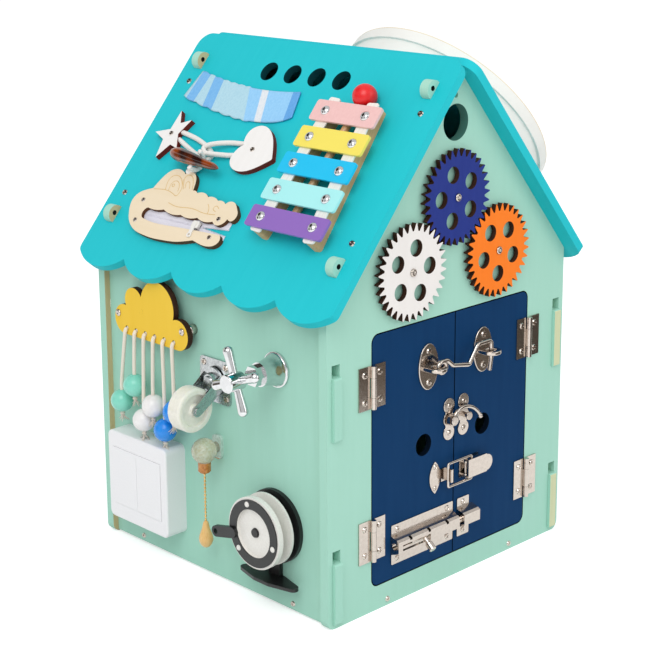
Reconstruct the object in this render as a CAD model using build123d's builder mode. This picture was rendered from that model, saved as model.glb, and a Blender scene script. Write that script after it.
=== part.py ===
from build123d import *
from math import asin, cos, degrees, pi, radians, sin, sqrt, tan
import os

# Overall house
house_w = 312.0
house_d = 305.0
panel_t = 9.0
eaves_z = 280.0
roof_angle = 50.0
side_inset = 6.0
panel_fit = 0.15
gable_corner_r = 8.0
base_gap = 1.5
overrun = 1.0

# Roof panels
roof_t = 8.0
roof_overhang = 16.0
roof_slope_len = 247.0
roof_corner_r = 15.0
scallop_count = 5
scallop_depth = 13.5
tongue_w = 17.0
tongue_rise = 1.0
tongue_pin_r = 2.3
tongue_pin_h = 3.5
tongue_drops = (32.6, 206.6)
roof_hole_r = 10.0
roof_hole_pitch = 31.3
roof_hole_count = 4
roof_hole_drop = 34.3
roof_hole_shift = -4.0

# Hook-and-drop joints between the walls and the gables
slot_h = 55.0
drop_h = 11.0
lip_t = 3.2
lip_corner_r = 2.0
slot_bottoms = (15.0, 178.0)

# Gable openings
door_margin = 52.5
door_way_h = 227.5
door_way_z = 22.0
door_way_r = 8.0
peep_r = 16.0
peep_drop = 49.5
pilot_r = 2.5
pilot_drop = 26.1

# Doors
door_t = 6.0
door_gap = 1.2
door_split_x = 2.5
door_split_gap = 0.6
finger_r = 10.0
finger_z = 135.7
finger_x = 39.5
finger_shift = 1.8

# Butt hinges
hinge_h = 38.0
hinge_leaf_w = 16.0
hinge_leaf_t = 1.2
knuckle_r = 2.6
knuckle_lift = 0.1
knuckle_gap = 0.2
hinge_pin_r = 1.3
running_gap = 0.05
hinge_heights = (67.0, 204.5)

# Cabin hook
hook_z = 206.5
hook_base_x = -33.3
hook_eye_x = 39.3
oval_w = 25.0
oval_h = 42.0
oval_t = 1.8
ring_off = 10.7
ring_r = 6.8
ring_wire_r = 2.4
bracket_w = 19.0
bracket_t = 3.6
bracket_edge_r = 1.1
hook_loop_r = 4.9
hook_wire_r = 2.1
hook_dip = 5.5
hook_rise = 10.5
hook_tip_drop = 17.0
hook_bend_r = 3.5

# Box clasp
clasp_z = 151.7
clasp_base_x = -5.6
clasp_catch_x = 13.8
clasp_plate_h = 39.0
clasp_lobe_r = 7.0
clasp_waist_w = 9.0
clasp_plate_t = 1.5
clasp_post_r = 3.0
clasp_post_h = 7.6
clasp_eye_r = 5.2
clasp_eye_t = 3.6
clasp_arm_off = 5.0
clasp_arm_r = 1.9
clasp_arm_rise = 7.3
clasp_arm_len = 38.0
clasp_tip_drop = 5.2
clasp_head_r = 4.3
catch_post_r = 2.4
catch_head_r = 3.8
catch_head_t = 1.4

# Draw latch
latch_z = 101.5
strike_x = -23.5
strike_w = 14.0
strike_h = 30.0
strike_t = 1.2
strike_tongue_w = 12.0
strike_tongue_end_x = -8.7
strike_hook_h = 9.6
strike_lip = 1.3
latch_base_back = 5.5
ear_r = 2.4
lever_hub_r = 2.7
lever_heel = 1.5
latch_rivet_r = 1.8
latch_rivet_t = 0.7
rivet_gap = 0.15
lever_axis_x = 14.5
lever_axis_off = 4.2
bail_pivot_x = 20.2
bail_off = 6.0
bail_wire_r = 1.2
bail_bar_x = -11.6
bail_half_w = 11.0
bail_bend_r = 2.6
latch_base_len = 26.0
latch_base_w = 18.0
latch_ear_t = 1.4
latch_ear_in = 5.3
lever_cheek_in = 6.9
lever_cheek_t = 1.6
lever_len = 31.5
lever_skin_t = 1.5
lever_top = 9.0
lever_tip_r = 7.6
latch_pin_r = 1.2

# Barrel bolt
bolt_z = 54.5
bolt_margin = 24.0
bolt_plate_right = 0.8
bolt_plate_h = 36.5
bolt_plate_t = 1.2
bolt_r = 3.0
bolt_off = 5.1
bolt_tail = 19.5
bolt_right = 27.0
bolt_wall = 1.7
bolt_case_gap = 0.1
bolt_travel = 25.8
knob_from_tail = 17.0
knob_r = 2.2
knob_end_r = 3.5
knob_end_len = 8.0
knob_len = 16.0
knob_tilt = 40.0
keeper_left = 7.0
keeper_right = 23.0
keeper_hood_right = 28.5
keeper_gap = 0.35
window_from_plate = 5.5
window_past_knob = 5.0
case_foot_w = 18.0
case_shoulder_w = 12.8
case_top_w = 9.8
case_notch_w = 3.0
case_notch_pitch = 24.0
bolt_chamfer = 0.8

# Gears
gear_teeth = 32
gear_tip_r = 42.2
gear_root_r = 35.6
gear_tip_w = 1.0
gear_root_w = 5.4
gear_t = 5.0
gear_lift = 1.5
gear_spacing = 79.5
gear_hole_r = 7.5
gear_hole_circle_r = 21.0
gear_hole_count = 5
blue_gear_x = -3.5
blue_gear_drop = 113.4
gear_pivot_r = 2.5
gear_washer_r = 4.5
gear_head_r = 3.6
gear_head_h = 1.7
gear_end_gap = 0.2

# Cloud with bead strings
cloud_lift = 8.0
cloud_t = 6.0
cloud_y = 67.1
cloud_w = 104.5
cloud_base_z = 210.5
cloud_base_h = 24.0
cloud_hole_r = 2.2
cloud_hole_pitch = 13.5
cloud_hole_z = 216.6
cloud_screw_span = 91.3
cloud_screw_r = 2.0
cloud_head_r = 3.4
cloud_head_h = 1.6
cloud_screw_z = 228.9
spacer_r = 5.0
string_r = 1.8
string_clear = 0.4
bead_r = 10.7
bead_bore_r = 2.1
knot_r = 3.2
bead_seat = 0.05
string_lead = 2.0
string_drop = 84.6
bead_shares = (
    (0.401, 0.843),
    (0.2124, 0.616),
    (0.0938, 0.976),
    (-0.0431, 0.775),
    (-0.201, 1.0),
    (-0.331, 0.759),
)

# Wall switch
switch_w = 86.0
switch_d = 23.0
switch_from_back = 70.8
switch_z = 72.3
switch_corner_r = 6.0
switch_edge_r = 2.0
key_field_w = 70.0
key_field_h = 56.0
key_gap = 0.3
key_t = 4.0
key_proud = 0.8
key_pocket_d = 8.0
key_edge_r = 0.6

# Tap
tap_y = -86.7
tap_below_eave = 50.56
tap_rim_r = 15.5
tap_bell_r = 13.6
tap_neck_r = 10.5
tap_bell_len = 21.0
tap_nut_r = 9.2
tap_nut_len = 8.0
tap_stem_r = 4.0
tap_stem_end = 48.0
tap_hub_r = 7.6
tap_hub_back = 41.0
tap_hub_front = 52.0
tap_cap_r = 8.0
tap_cap_t = 5.5
tap_arm_off = 46.5
tap_arm_reach = 30.0
tap_arm_root_r = 3.3
tap_arm_tip_r = 4.5
tap_turn = 20.0
tap_rim_t = 2.0
tap_flare = 4.0
tap_end_gap = 0.3
tap_cap_edge = 0.8

# Caster
caster_y = -8.0
caster_z = 188.0
caster_plate_w = 40.0
caster_plate_t = 2.0
caster_trail = 19.0
caster_axle_off = 31.0
kingpin_r = 3.5
kingpin_head_r = 6.0
crown_r = 13.0
crown_back = 3.2
crown_t = 2.2
fork_leg_t = 1.6
fork_in = 9.2
axle_r = 2.2
axle_head_r = 3.8
axle_head_t = 1.4
wheel_r = 20.0
wheel_w = 16.0
wheel_dish_r = 13.5
wheel_dish_d = 2.5
wheel_hub_r = 5.0
wheel_edge_r = 2.5
caster_corner_r = 4.0
caster_hole_r = 2.3
caster_hole_pitch = 29.0
race_r = 8.5
race_t = 4.0
kingpin_head_h = 1.4
leg_foot_r = 5.0

# Pull-chain lamp
lamp_y = -9.5
lamp_z = 127.0
lamp_off = 17.5
bulb_r = 11.5
lamp_plate_w = 12.0
lamp_plate_h = 22.0
lamp_plate_t = 3.0
lamp_neck_r = 5.0
cap_r = 5.8
cap_len = 9.0
chain_len = 46.0
chain_bead_r = 1.15
chain_rod_r = 0.5
chain_beads = 14
drop_len = 25.0
drop_r = 6.2
drop_top_r = 3.2
cap_drop = 11.0

# Fishing reel
reel_from_front = 68.5
reel_z = 74.5
reel_back_r = 33.0
reel_back_t = 4.0
reel_spindle_r = 3.0
reel_flange_r = 32.0
reel_rear_off = 10.0
reel_rear_t = 2.0
reel_drum_r = 15.0
reel_front_off = 22.0
reel_front_t = 5.0
reel_dish_r = 21.5
reel_ring_r = 30.0
reel_ring_t = 1.2
reel_screw_r = 4.4
reel_screw_h = 1.8
crank_reach = 47.0
crank_w = 10.0
crank_t = 2.6
crank_drop = 13.0
foot_len = 70.0
foot_w = 20.0
foot_waist = 26.0
foot_end_r = 4.5
foot_t = 3.0
foot_drop = 45.0
post_w = 14.0
reel_boss_r = 8.0
reel_dish_d = 2.5
reel_screw_gap = 0.2
crank_hole_r = 2.5

# Xylophone
xylo_u = 86.5
bar_count = 5
bar_w = 20.5
bar_t = 2.5
bar_first_len = 77.0
bar_last_len = 92.5
bar_first_drop = 75.0
bar_pitch = 27.2
bar_corner_r = 2.5
rail_w = 9.0
rail_h = 13.2
rail_top_drop = 60.0
rail_bottom_drop = 197.0
rail_top_half = 22.6
rail_bottom_half = 32.4
felt_w = 13.0
felt_t = 1.4
felt_gap = 0.1
mallet_r = 3.5
mallet_ball_r = 11.0
mallet_len = 135.0
mallet_lean = 6.6
mallet_u = 92.0
mallet_drop = 53.0
rest_gap = 0.3

# Toggle button with star and heart
board_t = 5.0
charm_t = 5.6
star_u = -124.6
star_drop = 116.7
star_r = 24.5
heart_u = -10.9
heart_drop = 118.3
heart_size = 49.0
tip_round_r = 1.2
loop_r = 2.35
loop_groove_gap = 0.15
star_loop_route = (
    (-117, -112, 0),
    (-98, -114.5, 0),
    (-78, -120, 0),
    (-63, -126.5, 0),
    (-59.5, -132, 0),
    (-66, -136, 0),
    (-86, -130.5, 0),
    (-100, -125.5, 0),
    (-115, -120, 0),
)
heart_loop_route = (
    (-23, -113, 0.1),
    (-36, -113.5, 0.4),
    (-47, -115.5, 1.9),
    (-57, -119.5, 4.9),
    (-66, -122.5, 5.1),
    (-71, -126, 5.1),
    (-66, -131.2, 5.1),
    (-57, -131, 4.9),
    (-46, -128.5, 1.9),
    (-36, -127, 0.4),
    (-23, -124, 0.1),
)
horn_u = -64.8
horn_drop = 142.5
horn_len = 69.0
horn_off = 12.6
horn_tie_gap = 0.85
horn_turn = -5.9
horn_r = 6.5
horn_mid_share = 0.84
horn_blunt_shares = ((0.66, 0.0), (0.93, 0.07), (1.0, 0.2))
horn_tip_shares = ((0.6, 0.73), (0.3, 0.95), (0.0, 1.0))

# Crocodile with zip
croc_u = -66.0
croc_drop = 188.0
croc_len = 138.0
mouth_len = 112.0
mouth_h = 14.3
mouth_left = -107.7
mouth_drop = 200.0
zip_rebate = 1.3
tape_t = 0.9
tape_margin = 4.0
slider_len = 9.0
slider_w = 7.0
slider_h = 3.2
slider_u = -30.0
pull_len = 11.0
pull_w = 4.0
chain_w = 4.0
chain_t = 1.2
slider_gap = 0.15
pull_t = 1.0

# Lace strap
strap_len = 150.0
strap_w = 29.0
strap_t = 2.6
strap_u = -66.0
strap_drop = 66.0

# Hand drum
drum_r = 108.0
drum_h = 42.0
drum_u = -38.0
drum_drop = 124.5
drum_wall = 6.0
drum_hoop_h = 12.0
drum_hoop_t = 2.4
drum_skin_t = 1.2
drum_edge_r = 1.0

# Working values
slope = radians(roof_angle)
apex_z = eaves_z + house_w / 2 * tan(slope)
front_y = -house_d / 2
inner_d = house_d - 2 * panel_t
wall_face_x = house_w / 2 - side_inset
door_way_w = house_w - 2 * door_margin
hinge_x = door_way_w / 2
pin_off = knuckle_r + knuckle_lift
roof_len_y = house_d + 2 * roof_overhang
eave_low_z = apex_z - (roof_slope_len + scallop_depth) * sin(slope)
peep_z = apex_z - peep_drop
pilot_z = apex_z - pilot_drop
bolt_plate_left = bolt_margin - hinge_x
bolt_left = bolt_plate_left + bolt_tail
knob_x = bolt_left + knob_from_tail
window_left = bolt_plate_left + window_from_plate
window_right = knob_x + window_past_knob
blue_gear_z = apex_z - blue_gear_drop
bead_places = [(cloud_y + x * cloud_w, cloud_hole_z - down * string_drop) for x, down in bead_shares]
switch_y = house_d / 2 - switch_from_back
tap_z = eave_low_z - tap_below_eave
reel_y = reel_from_front - house_d / 2

# Faces that the pieces are laid out on: across, up and outward
front = Plane(origin=(0, front_y, 0), x_dir=(1, 0, 0), z_dir=(0, -1, 0))
back = Plane(origin=(0, -front_y, 0), x_dir=(-1, 0, 0), z_dir=(0, 1, 0))
left = Plane(origin=(-wall_face_x, 0, 0), x_dir=(0, -1, 0), z_dir=(-1, 0, 0))
right = Plane(origin=(wall_face_x, 0, 0), x_dir=(0, 1, 0), z_dir=(1, 0, 0))
left_slope = Plane(origin=(0, 0, apex_z), x_dir=(0, -1, 0), z_dir=(-sin(slope), 0, cos(slope)))
right_slope = Plane(origin=(0, 0, apex_z), x_dir=(0, 1, 0), z_dir=(sin(slope), 0, cos(slope)))


def spot(face, across, up, out=0.0):
    """A point given by its place on a face and its height above it."""
    return face.from_local_coords(Vector(across, up, out))


def standing(face, across, up, out=0.0):
    """A plane square to a face: x runs across the face and y points out of it."""
    return Plane(origin=spot(face, across, up, out), x_dir=face.x_dir, z_dir=-face.y_dir)


def lying(face, across, up, out=0.0):
    """The face's own plane, moved to a place on it."""
    return Plane(origin=spot(face, across, up, out), x_dir=face.x_dir, z_dir=face.z_dir)


def normal_axis(face, across, up):
    """The axis that stands square on a face at a place."""
    return Axis(spot(face, across, up), face.z_dir)


os.makedirs("parts", exist_ok=True)

# Gables


def gable_profile():
    """A gable: its outline with the roof tongues, less the slots for the walls."""
    with BuildSketch() as profile:
        with BuildLine():
            Polyline(
                (-house_w / 2, 0),
                (house_w / 2, 0),
                (house_w / 2, eaves_z),
                (0, apex_z),
                (-house_w / 2, eaves_z),
                close=True,
            )
        make_face()
        fillet(profile.vertices().group_by(Axis.Y)[0], gable_corner_r)
        for side in (-1, 1):
            for drop in tongue_drops:
                foot = (side * drop * cos(slope), apex_z - drop * sin(slope))
                with Locations(Location((*foot, 0), (0, 0, -side * roof_angle))):
                    with Locations((0, (roof_t + tongue_rise - overrun) / 2)):
                        Rectangle(tongue_w, roof_t + tongue_rise + overrun)
                    with Locations((0, roof_t + tongue_rise)):
                        Circle(tongue_w / 2)
                    with Locations((0, roof_t + tongue_pin_h)):
                        Circle(tongue_pin_r, mode=Mode.SUBTRACT)
            for bottom in slot_bottoms:
                with Locations((side * (wall_face_x - panel_t / 2), bottom + slot_h / 2)):
                    Rectangle(panel_t + 2 * panel_fit, slot_h, mode=Mode.SUBTRACT)
    return profile.sketch


with BuildPart() as front_gable:
    with BuildSketch(front):
        add(gable_profile())
        with Locations((0, door_way_z + door_way_h / 2)):
            RectangleRounded(door_way_w, door_way_h, door_way_r, mode=Mode.SUBTRACT)
        with Locations((0, peep_z)):
            Circle(peep_r, mode=Mode.SUBTRACT)
        with Locations((0, pilot_z)):
            Circle(pilot_r, mode=Mode.SUBTRACT)
    extrude(amount=-panel_t)
front_gable.part.label = "front_gable"
export_step(front_gable.part, "parts/front_gable.step")

with BuildPart() as back_gable:
    with BuildSketch(back):
        add(gable_profile())
    extrude(amount=-panel_t)
back_gable.part.label = "back_gable"
export_step(back_gable.part, "parts/back_gable.step")

# Side walls and floor

wall_top = eaves_z + side_inset * tan(slope) - panel_fit


def wall_profile():
    """A side wall with the hooked tenons that drop into the gables' slots."""
    with BuildSketch() as profile:
        with Locations((0, (base_gap + wall_top) / 2)):
            Rectangle(inner_d, wall_top - base_gap)
        for side in (-1, 1):
            for bottom in slot_bottoms:
                with Locations((side * (inner_d + panel_t + lip_t) / 2, bottom + (slot_h - drop_h) / 2)):
                    Rectangle(panel_t + lip_t, slot_h - drop_h)
                lip_in = house_d / 2 + panel_fit
                lip_out = house_d / 2 + lip_t
                with Locations((side * (lip_in + lip_out) / 2, bottom - drop_h + slot_h / 2)):
                    Rectangle(lip_out - lip_in, slot_h)
        outer = profile.vertices().group_by(Axis.X)
        fillet(outer[0] + outer[-1], lip_corner_r)
    return profile.sketch


with BuildPart() as left_wall:
    with BuildSketch(left):
        add(wall_profile())
    extrude(amount=-panel_t)
left_wall.part.label = "left_wall"
export_step(left_wall.part, "parts/left_wall.step")

with BuildPart() as right_wall:
    with BuildSketch(right):
        add(wall_profile())
    extrude(amount=-panel_t)
right_wall.part.label = "right_wall"
export_step(right_wall.part, "parts/right_wall.step")

with BuildPart() as floor_panel:
    with BuildSketch(Plane.XY):
        Rectangle(2 * (wall_face_x - panel_t - panel_fit), inner_d - 2 * panel_fit)
    extrude(amount=panel_t)
floor_panel.part.label = "floor_panel"
export_step(floor_panel.part, "parts/floor_panel.step")

# Roof panels


def roof_profile():
    """A roof panel with a scalloped lower edge and slots for the gable tongues."""
    half = roof_len_y / 2
    lobe = roof_len_y / scallop_count
    with BuildSketch() as profile:
        with BuildLine():
            Polyline((-half, -roof_slope_len), (-half, 0), (half, 0), (half, -roof_slope_len))
            for i in range(scallop_count):
                start = half - i * lobe
                ThreePointArc(
                    (start, -roof_slope_len),
                    (start - lobe / 2, -roof_slope_len - scallop_depth),
                    (start - lobe, -roof_slope_len),
                )
        make_face()
        fillet(profile.vertices().group_by(Axis.Y)[-1], roof_corner_r)
        ends = profile.vertices().group_by(Axis.X)
        fillet([v for v in ends[0] + ends[-1] if v.Y < -roof_slope_len + overrun], roof_corner_r / 2)
        for side in (-1, 1):
            for drop in tongue_drops:
                with Locations((side * (house_d - panel_t) / 2, -drop)):
                    Rectangle(panel_t + 2 * panel_fit, tongue_w + 2 * panel_fit, mode=Mode.SUBTRACT)
    return profile.sketch


with BuildPart() as left_roof:
    with BuildSketch(left_slope):
        add(roof_profile())
        with Locations((roof_hole_shift, -roof_hole_drop)):
            with GridLocations(roof_hole_pitch, 0, roof_hole_count, 1):
                Circle(roof_hole_r, mode=Mode.SUBTRACT)
    extrude(amount=roof_t)
left_roof.part.label = "left_roof"
export_step(left_roof.part, "parts/left_roof.step")

with BuildPart() as right_roof:
    with BuildSketch(right_slope):
        add(roof_profile())
    extrude(amount=roof_t)
right_roof.part.label = "right_roof"
export_step(right_roof.part, "parts/right_roof.step")

# Doors

door_h = door_way_h - 2 * door_gap
door_mid_z = door_way_z + door_way_h / 2


def door(edge_x, split_x, hole_x):
    """One leaf, rounded at its outer corners and square at the split."""
    side = 1 if edge_x > split_x else -1
    with BuildPart() as leaf:
        with BuildSketch(front) as outline:
            with Locations(((edge_x + split_x) / 2, door_mid_z)):
                Rectangle(abs(edge_x - split_x), door_h)
            across = outline.vertices().sort_by(Axis.X)
            fillet(across[-2:] if side > 0 else across[:2], door_way_r - door_gap)
            with Locations((hole_x, finger_z)):
                Circle(finger_r, mode=Mode.SUBTRACT)
        extrude(amount=-door_t)
    return leaf.part


left_door = door(-hinge_x + door_gap, door_split_x - door_split_gap, finger_shift - finger_x)
left_door.label = "left_door"
export_step(left_door, "parts/left_door.step")
right_door = door(hinge_x - door_gap, door_split_x + door_split_gap, finger_shift + finger_x)
right_door.label = "right_door"
export_step(right_door, "parts/right_door.step")

# Butt hinges: the frame leaves hold the end knuckles and the pin, the door leaves the middle ones

knuckle_shares = (0.0, 0.27, 0.72, 1.0)
strip_w = knuckle_r + 2 * knuckle_gap


def hinge_leaf(side, pin_x, mid_z, owned, bored):
    """A leaf that reaches from the pin towards side (-1 is -X) and holds the owned knuckles."""
    knuckles = []
    for k in owned:
        low, high = (mid_z + (share - 1 / 2) * hinge_h for share in knuckle_shares[k : k + 2])
        knuckles.append(((low + high) / 2, high - low - knuckle_gap))
    with BuildPart() as leaf:
        with BuildSketch(front):
            with Locations((pin_x + side * (strip_w + hinge_leaf_w) / 2, mid_z)):
                Rectangle(hinge_leaf_w - strip_w, hinge_h)
            for knuckle_z, knuckle_h in knuckles:
                with Locations((pin_x + side * (strip_w + overrun) / 2, knuckle_z)):
                    Rectangle(strip_w + overrun, knuckle_h)
        extrude(amount=hinge_leaf_t)
        for knuckle_z, knuckle_h in knuckles:
            with Locations((pin_x, front_y - pin_off, knuckle_z)):
                Cylinder(knuckle_r, knuckle_h)
        with Locations((pin_x, front_y - pin_off, mid_z)):
            if bored:
                Cylinder(hinge_pin_r + running_gap, hinge_h, mode=Mode.SUBTRACT)
            else:
                Cylinder(hinge_pin_r, hinge_h - knuckle_gap)
    return leaf.part


with BuildPart() as frame_hinge_leaves:
    for side in (-1, 1):
        for mid_z in hinge_heights:
            add(hinge_leaf(side, side * hinge_x, mid_z, (0, 2), False))
frame_hinge_leaves.part.label = "frame_hinge_leaves"
export_step(frame_hinge_leaves.part, "parts/frame_hinge_leaves.step")

for side, name in ((-1, "left_door_hinge_leaves"), (1, "right_door_hinge_leaves")):
    with BuildPart() as door_leaves:
        for mid_z in hinge_heights:
            add(hinge_leaf(-side, side * hinge_x, mid_z, (1,), True))
    door_leaves.part.label = name
    export_step(door_leaves.part, f"parts/{name}.step")

# Cabin hook


def ring_base(x):
    """An oval plate with a flat bracket that ends in a ring."""
    with BuildPart() as base:
        with BuildSketch(lying(front, x, hook_z)):
            Ellipse(oval_w / 2, oval_h / 2)
        extrude(amount=oval_t)
        fillet(base.faces().sort_by(Axis.Y)[0].edges(), oval_t / 2)
        with BuildSketch(Plane(origin=(x, front_y, hook_z), x_dir=(1, 0, 0), z_dir=(0, 0, 1))):
            with Locations((0, -ring_off)):
                Circle(ring_r + ring_wire_r)
            with Locations((0, -oval_t / 2)):
                Rectangle(bracket_w, oval_t)
            make_hull()
            with Locations((0, -ring_off)):
                Circle(ring_r - ring_wire_r, mode=Mode.SUBTRACT)
        extrude(amount=bracket_t / 2, both=True)
        rims = base.edges().filter_by(GeomType.CIRCLE)
        rims = rims.filter_by(lambda e: abs(abs(e.center().Z - hook_z) - bracket_t / 2) < running_gap)
        fillet(rims, bracket_edge_r)
    return base.part


hook_base = ring_base(hook_base_x)
hook_base.label = "hook_base"
export_step(hook_base, "parts/hook_base.step")
hook_eye = ring_base(hook_eye_x)
hook_eye.label = "hook_eye"
export_step(hook_eye, "parts/hook_eye.step")

hook_pivot_x = hook_base_x + ring_r
hook_span = hook_eye_x - hook_pivot_x
with BuildPart() as cabin_hook:
    with Locations(Location((hook_pivot_x, front_y - ring_off, hook_z), (90, 0, 0))):
        Torus(hook_loop_r, hook_wire_r)
    with BuildLine(lying(front, hook_pivot_x, hook_z, ring_off)) as rod:
        FilletPolyline(
            (0, hook_loop_r),
            (0.1 * hook_span, hook_loop_r),
            (0.21 * hook_span, -hook_dip / 5),
            (0.54 * hook_span, -hook_dip),
            (0.72 * hook_span, hook_rise),
            (hook_span, hook_rise),
            (hook_span, -hook_tip_drop / 3),
            (hook_span - hook_wire_r, -hook_tip_drop),
            radius=hook_bend_r,
        )
    with BuildSketch(Plane(origin=rod.line @ 0, z_dir=rod.line % 0)):
        Circle(hook_wire_r)
    sweep(path=rod.line)
cabin_hook.part.label = "cabin_hook"
export_step(cabin_hook.part, "parts/cabin_hook.step")

# Box clasp


def lobed_plate(x, post_r, post_h, head_r):
    """A plate with a round lobe at each end and a headed post in its middle."""
    with BuildPart() as plate:
        with BuildSketch(lying(front, x, clasp_z)):
            Rectangle(clasp_waist_w, clasp_plate_h - 2 * clasp_lobe_r)
            with Locations((0, clasp_plate_h / 2 - clasp_lobe_r), (0, clasp_lobe_r - clasp_plate_h / 2)):
                Circle(clasp_lobe_r)
            Circle(clasp_lobe_r)
        extrude(amount=clasp_plate_t)
        fillet(plate.faces().sort_by(Axis.Y)[0].edges(), clasp_plate_t / 3)
        with BuildSketch(lying(front, x, clasp_z)):
            Circle(post_r)
        extrude(amount=post_h)
        with BuildSketch(lying(front, x, clasp_z, post_h)):
            Circle(head_r)
        extrude(amount=catch_head_t)
        fillet(plate.faces().sort_by(Axis.Y)[0].edges(), catch_head_t / 2)
    return plate.part


clasp_plate = lobed_plate(clasp_base_x, clasp_post_r, clasp_post_h, clasp_head_r)
clasp_plate.label = "clasp_plate"
export_step(clasp_plate, "parts/clasp_plate.step")
clasp_catch = lobed_plate(clasp_catch_x, catch_post_r, clasp_post_h, catch_head_r)
clasp_catch.label = "clasp_catch"
export_step(clasp_catch, "parts/clasp_catch.step")

with BuildPart() as clasp_arm:
    with BuildLine(lying(front, clasp_base_x, clasp_z, clasp_arm_off)) as arm:
        reach = clasp_catch_x - clasp_base_x
        Spline(
            (clasp_post_r, 0),
            (reach * 0.45, clasp_arm_rise),
            (reach, clasp_arm_rise + clasp_arm_r / 2),
            (reach + clasp_lobe_r, clasp_arm_rise * 0.8),
            (clasp_arm_len, -clasp_tip_drop),
        )
    with BuildSketch(Plane(origin=arm.line @ 0, z_dir=arm.line % 0)):
        Circle(clasp_arm_r)
    sweep(path=arm.line)
    with Locations(spot(front, clasp_base_x + clasp_arm_len, clasp_z - clasp_tip_drop, clasp_arm_off)):
        Sphere(clasp_arm_r * 1.3)
    with BuildSketch(lying(front, clasp_base_x, clasp_z, clasp_arm_off - clasp_eye_t / 2)):
        Circle(clasp_eye_r)
    extrude(amount=clasp_eye_t)
    with BuildSketch(lying(front, clasp_base_x, clasp_z, 0)):
        Circle(clasp_post_r + running_gap)
    extrude(amount=clasp_arm_off * 2, mode=Mode.SUBTRACT)
clasp_arm.part.label = "clasp_arm"
export_step(clasp_arm.part, "parts/clasp_arm.step")

# Draw latch

with BuildPart() as strike_plate:
    with BuildSketch(lying(front, strike_x, latch_z)):
        with BuildLine():
            ThreePointArc((0, -strike_h / 2), (-strike_w / 2, 0), (0, strike_h / 2))
            ThreePointArc((0, strike_h / 2), (strike_w / 2, 0), (0, -strike_h / 2))
        make_face()
    extrude(amount=strike_t)
    with BuildSketch(standing(front, 0, latch_z)):
        with BuildLine():
            Polyline(
                (strike_x + strike_w / 2 - overrun, 0),
                (strike_tongue_end_x, 0),
                (strike_tongue_end_x, strike_hook_h),
                (strike_tongue_end_x - strike_t - strike_lip, strike_hook_h),
                (strike_tongue_end_x - strike_t - strike_lip, strike_hook_h - strike_t),
                (strike_tongue_end_x - strike_t, strike_hook_h - strike_t),
                (strike_tongue_end_x - strike_t, strike_t),
                (strike_x + strike_w / 2 - overrun, strike_t),
                close=True,
            )
        make_face()
    extrude(amount=strike_tongue_w / 2, both=True)
strike_plate.part.label = "strike_plate"
export_step(strike_plate.part, "parts/strike_plate.step")

with BuildPart() as latch_base:
    with BuildSketch(lying(front, lever_axis_x - latch_base_back + latch_base_len / 2, latch_z)):
        RectangleRounded(latch_base_len, latch_base_w, strike_t)
    extrude(amount=strike_t)
    for side in (-1, 1):
        ear_z = latch_z + side * (latch_ear_in + latch_ear_t / 2)
        with BuildSketch(standing(front, lever_axis_x, ear_z)):
            with Locations((0, lever_axis_off)):
                Circle(ear_r)
            with Locations((0, strike_t / 2)):
                Rectangle(2 * ear_r, strike_t)
            make_hull()
        extrude(amount=latch_ear_t / 2, both=True)
    with Locations((lever_axis_x, front_y - lever_axis_off, latch_z)):
        Cylinder(latch_pin_r, 2 * (lever_cheek_in + lever_cheek_t + rivet_gap))
    for side in (-1, 1):
        rivet_z = side * (lever_cheek_in + lever_cheek_t + rivet_gap + latch_rivet_t / 2)
        with Locations((lever_axis_x, front_y - lever_axis_off, latch_z + rivet_z)):
            Cylinder(latch_rivet_r, latch_rivet_t)
latch_base.part.label = "latch_base"
export_step(latch_base.part, "parts/latch_base.step")

with BuildPart() as latch_lever:
    lever_end = lever_axis_x + lever_len
    for side in (-1, 1):
        with BuildSketch(standing(front, 0, latch_z + side * (lever_cheek_in + lever_cheek_t / 2))):
            with Locations((lever_axis_x, lever_axis_off)):
                Circle(lever_hub_r)
            with Locations((bail_pivot_x, bail_off)):
                Circle(lever_hub_r)
            with Locations(((lever_axis_x - lever_heel + lever_end - lever_tip_r) / 2, lever_top - lever_skin_t / 2)):
                Rectangle(lever_end - lever_tip_r - lever_axis_x + lever_heel, lever_skin_t)
            make_hull()
        extrude(amount=lever_cheek_t / 2, both=True)
    with BuildSketch(lying(front, 0, latch_z, lever_top - lever_skin_t)):
        with Locations((lever_end - lever_tip_r, 0)):
            Circle(lever_tip_r)
        with Locations((lever_axis_x, 0)):
            Rectangle(2 * lever_heel, 2 * (lever_cheek_in + lever_cheek_t))
        make_hull()
    extrude(amount=lever_skin_t)
    with Locations((lever_axis_x, front_y - lever_axis_off, latch_z)):
        Cylinder(latch_pin_r + running_gap, latch_base_w, mode=Mode.SUBTRACT)
    with Locations((bail_pivot_x, front_y - bail_off, latch_z)):
        Cylinder(bail_wire_r + running_gap, latch_base_w, mode=Mode.SUBTRACT)
latch_lever.part.label = "latch_lever"
export_step(latch_lever.part, "parts/latch_lever.step")

with BuildPart() as latch_bail:
    with BuildLine(lying(front, 0, latch_z, bail_off)) as bail:
        FilletPolyline(
            (bail_pivot_x, lever_cheek_in),
            (bail_pivot_x, bail_half_w),
            (bail_bar_x, bail_half_w),
            (bail_bar_x, -bail_half_w),
            (bail_pivot_x, -bail_half_w),
            (bail_pivot_x, -lever_cheek_in),
            radius=bail_wire_r * 1.25,
        )
    with BuildSketch(Plane(origin=bail.line @ 0, z_dir=bail.line % 0)):
        Circle(bail_wire_r)
    sweep(path=bail.line)
latch_bail.part.label = "latch_bail"
export_step(latch_bail.part, "parts/latch_bail.step")

# Barrel bolt


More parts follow.
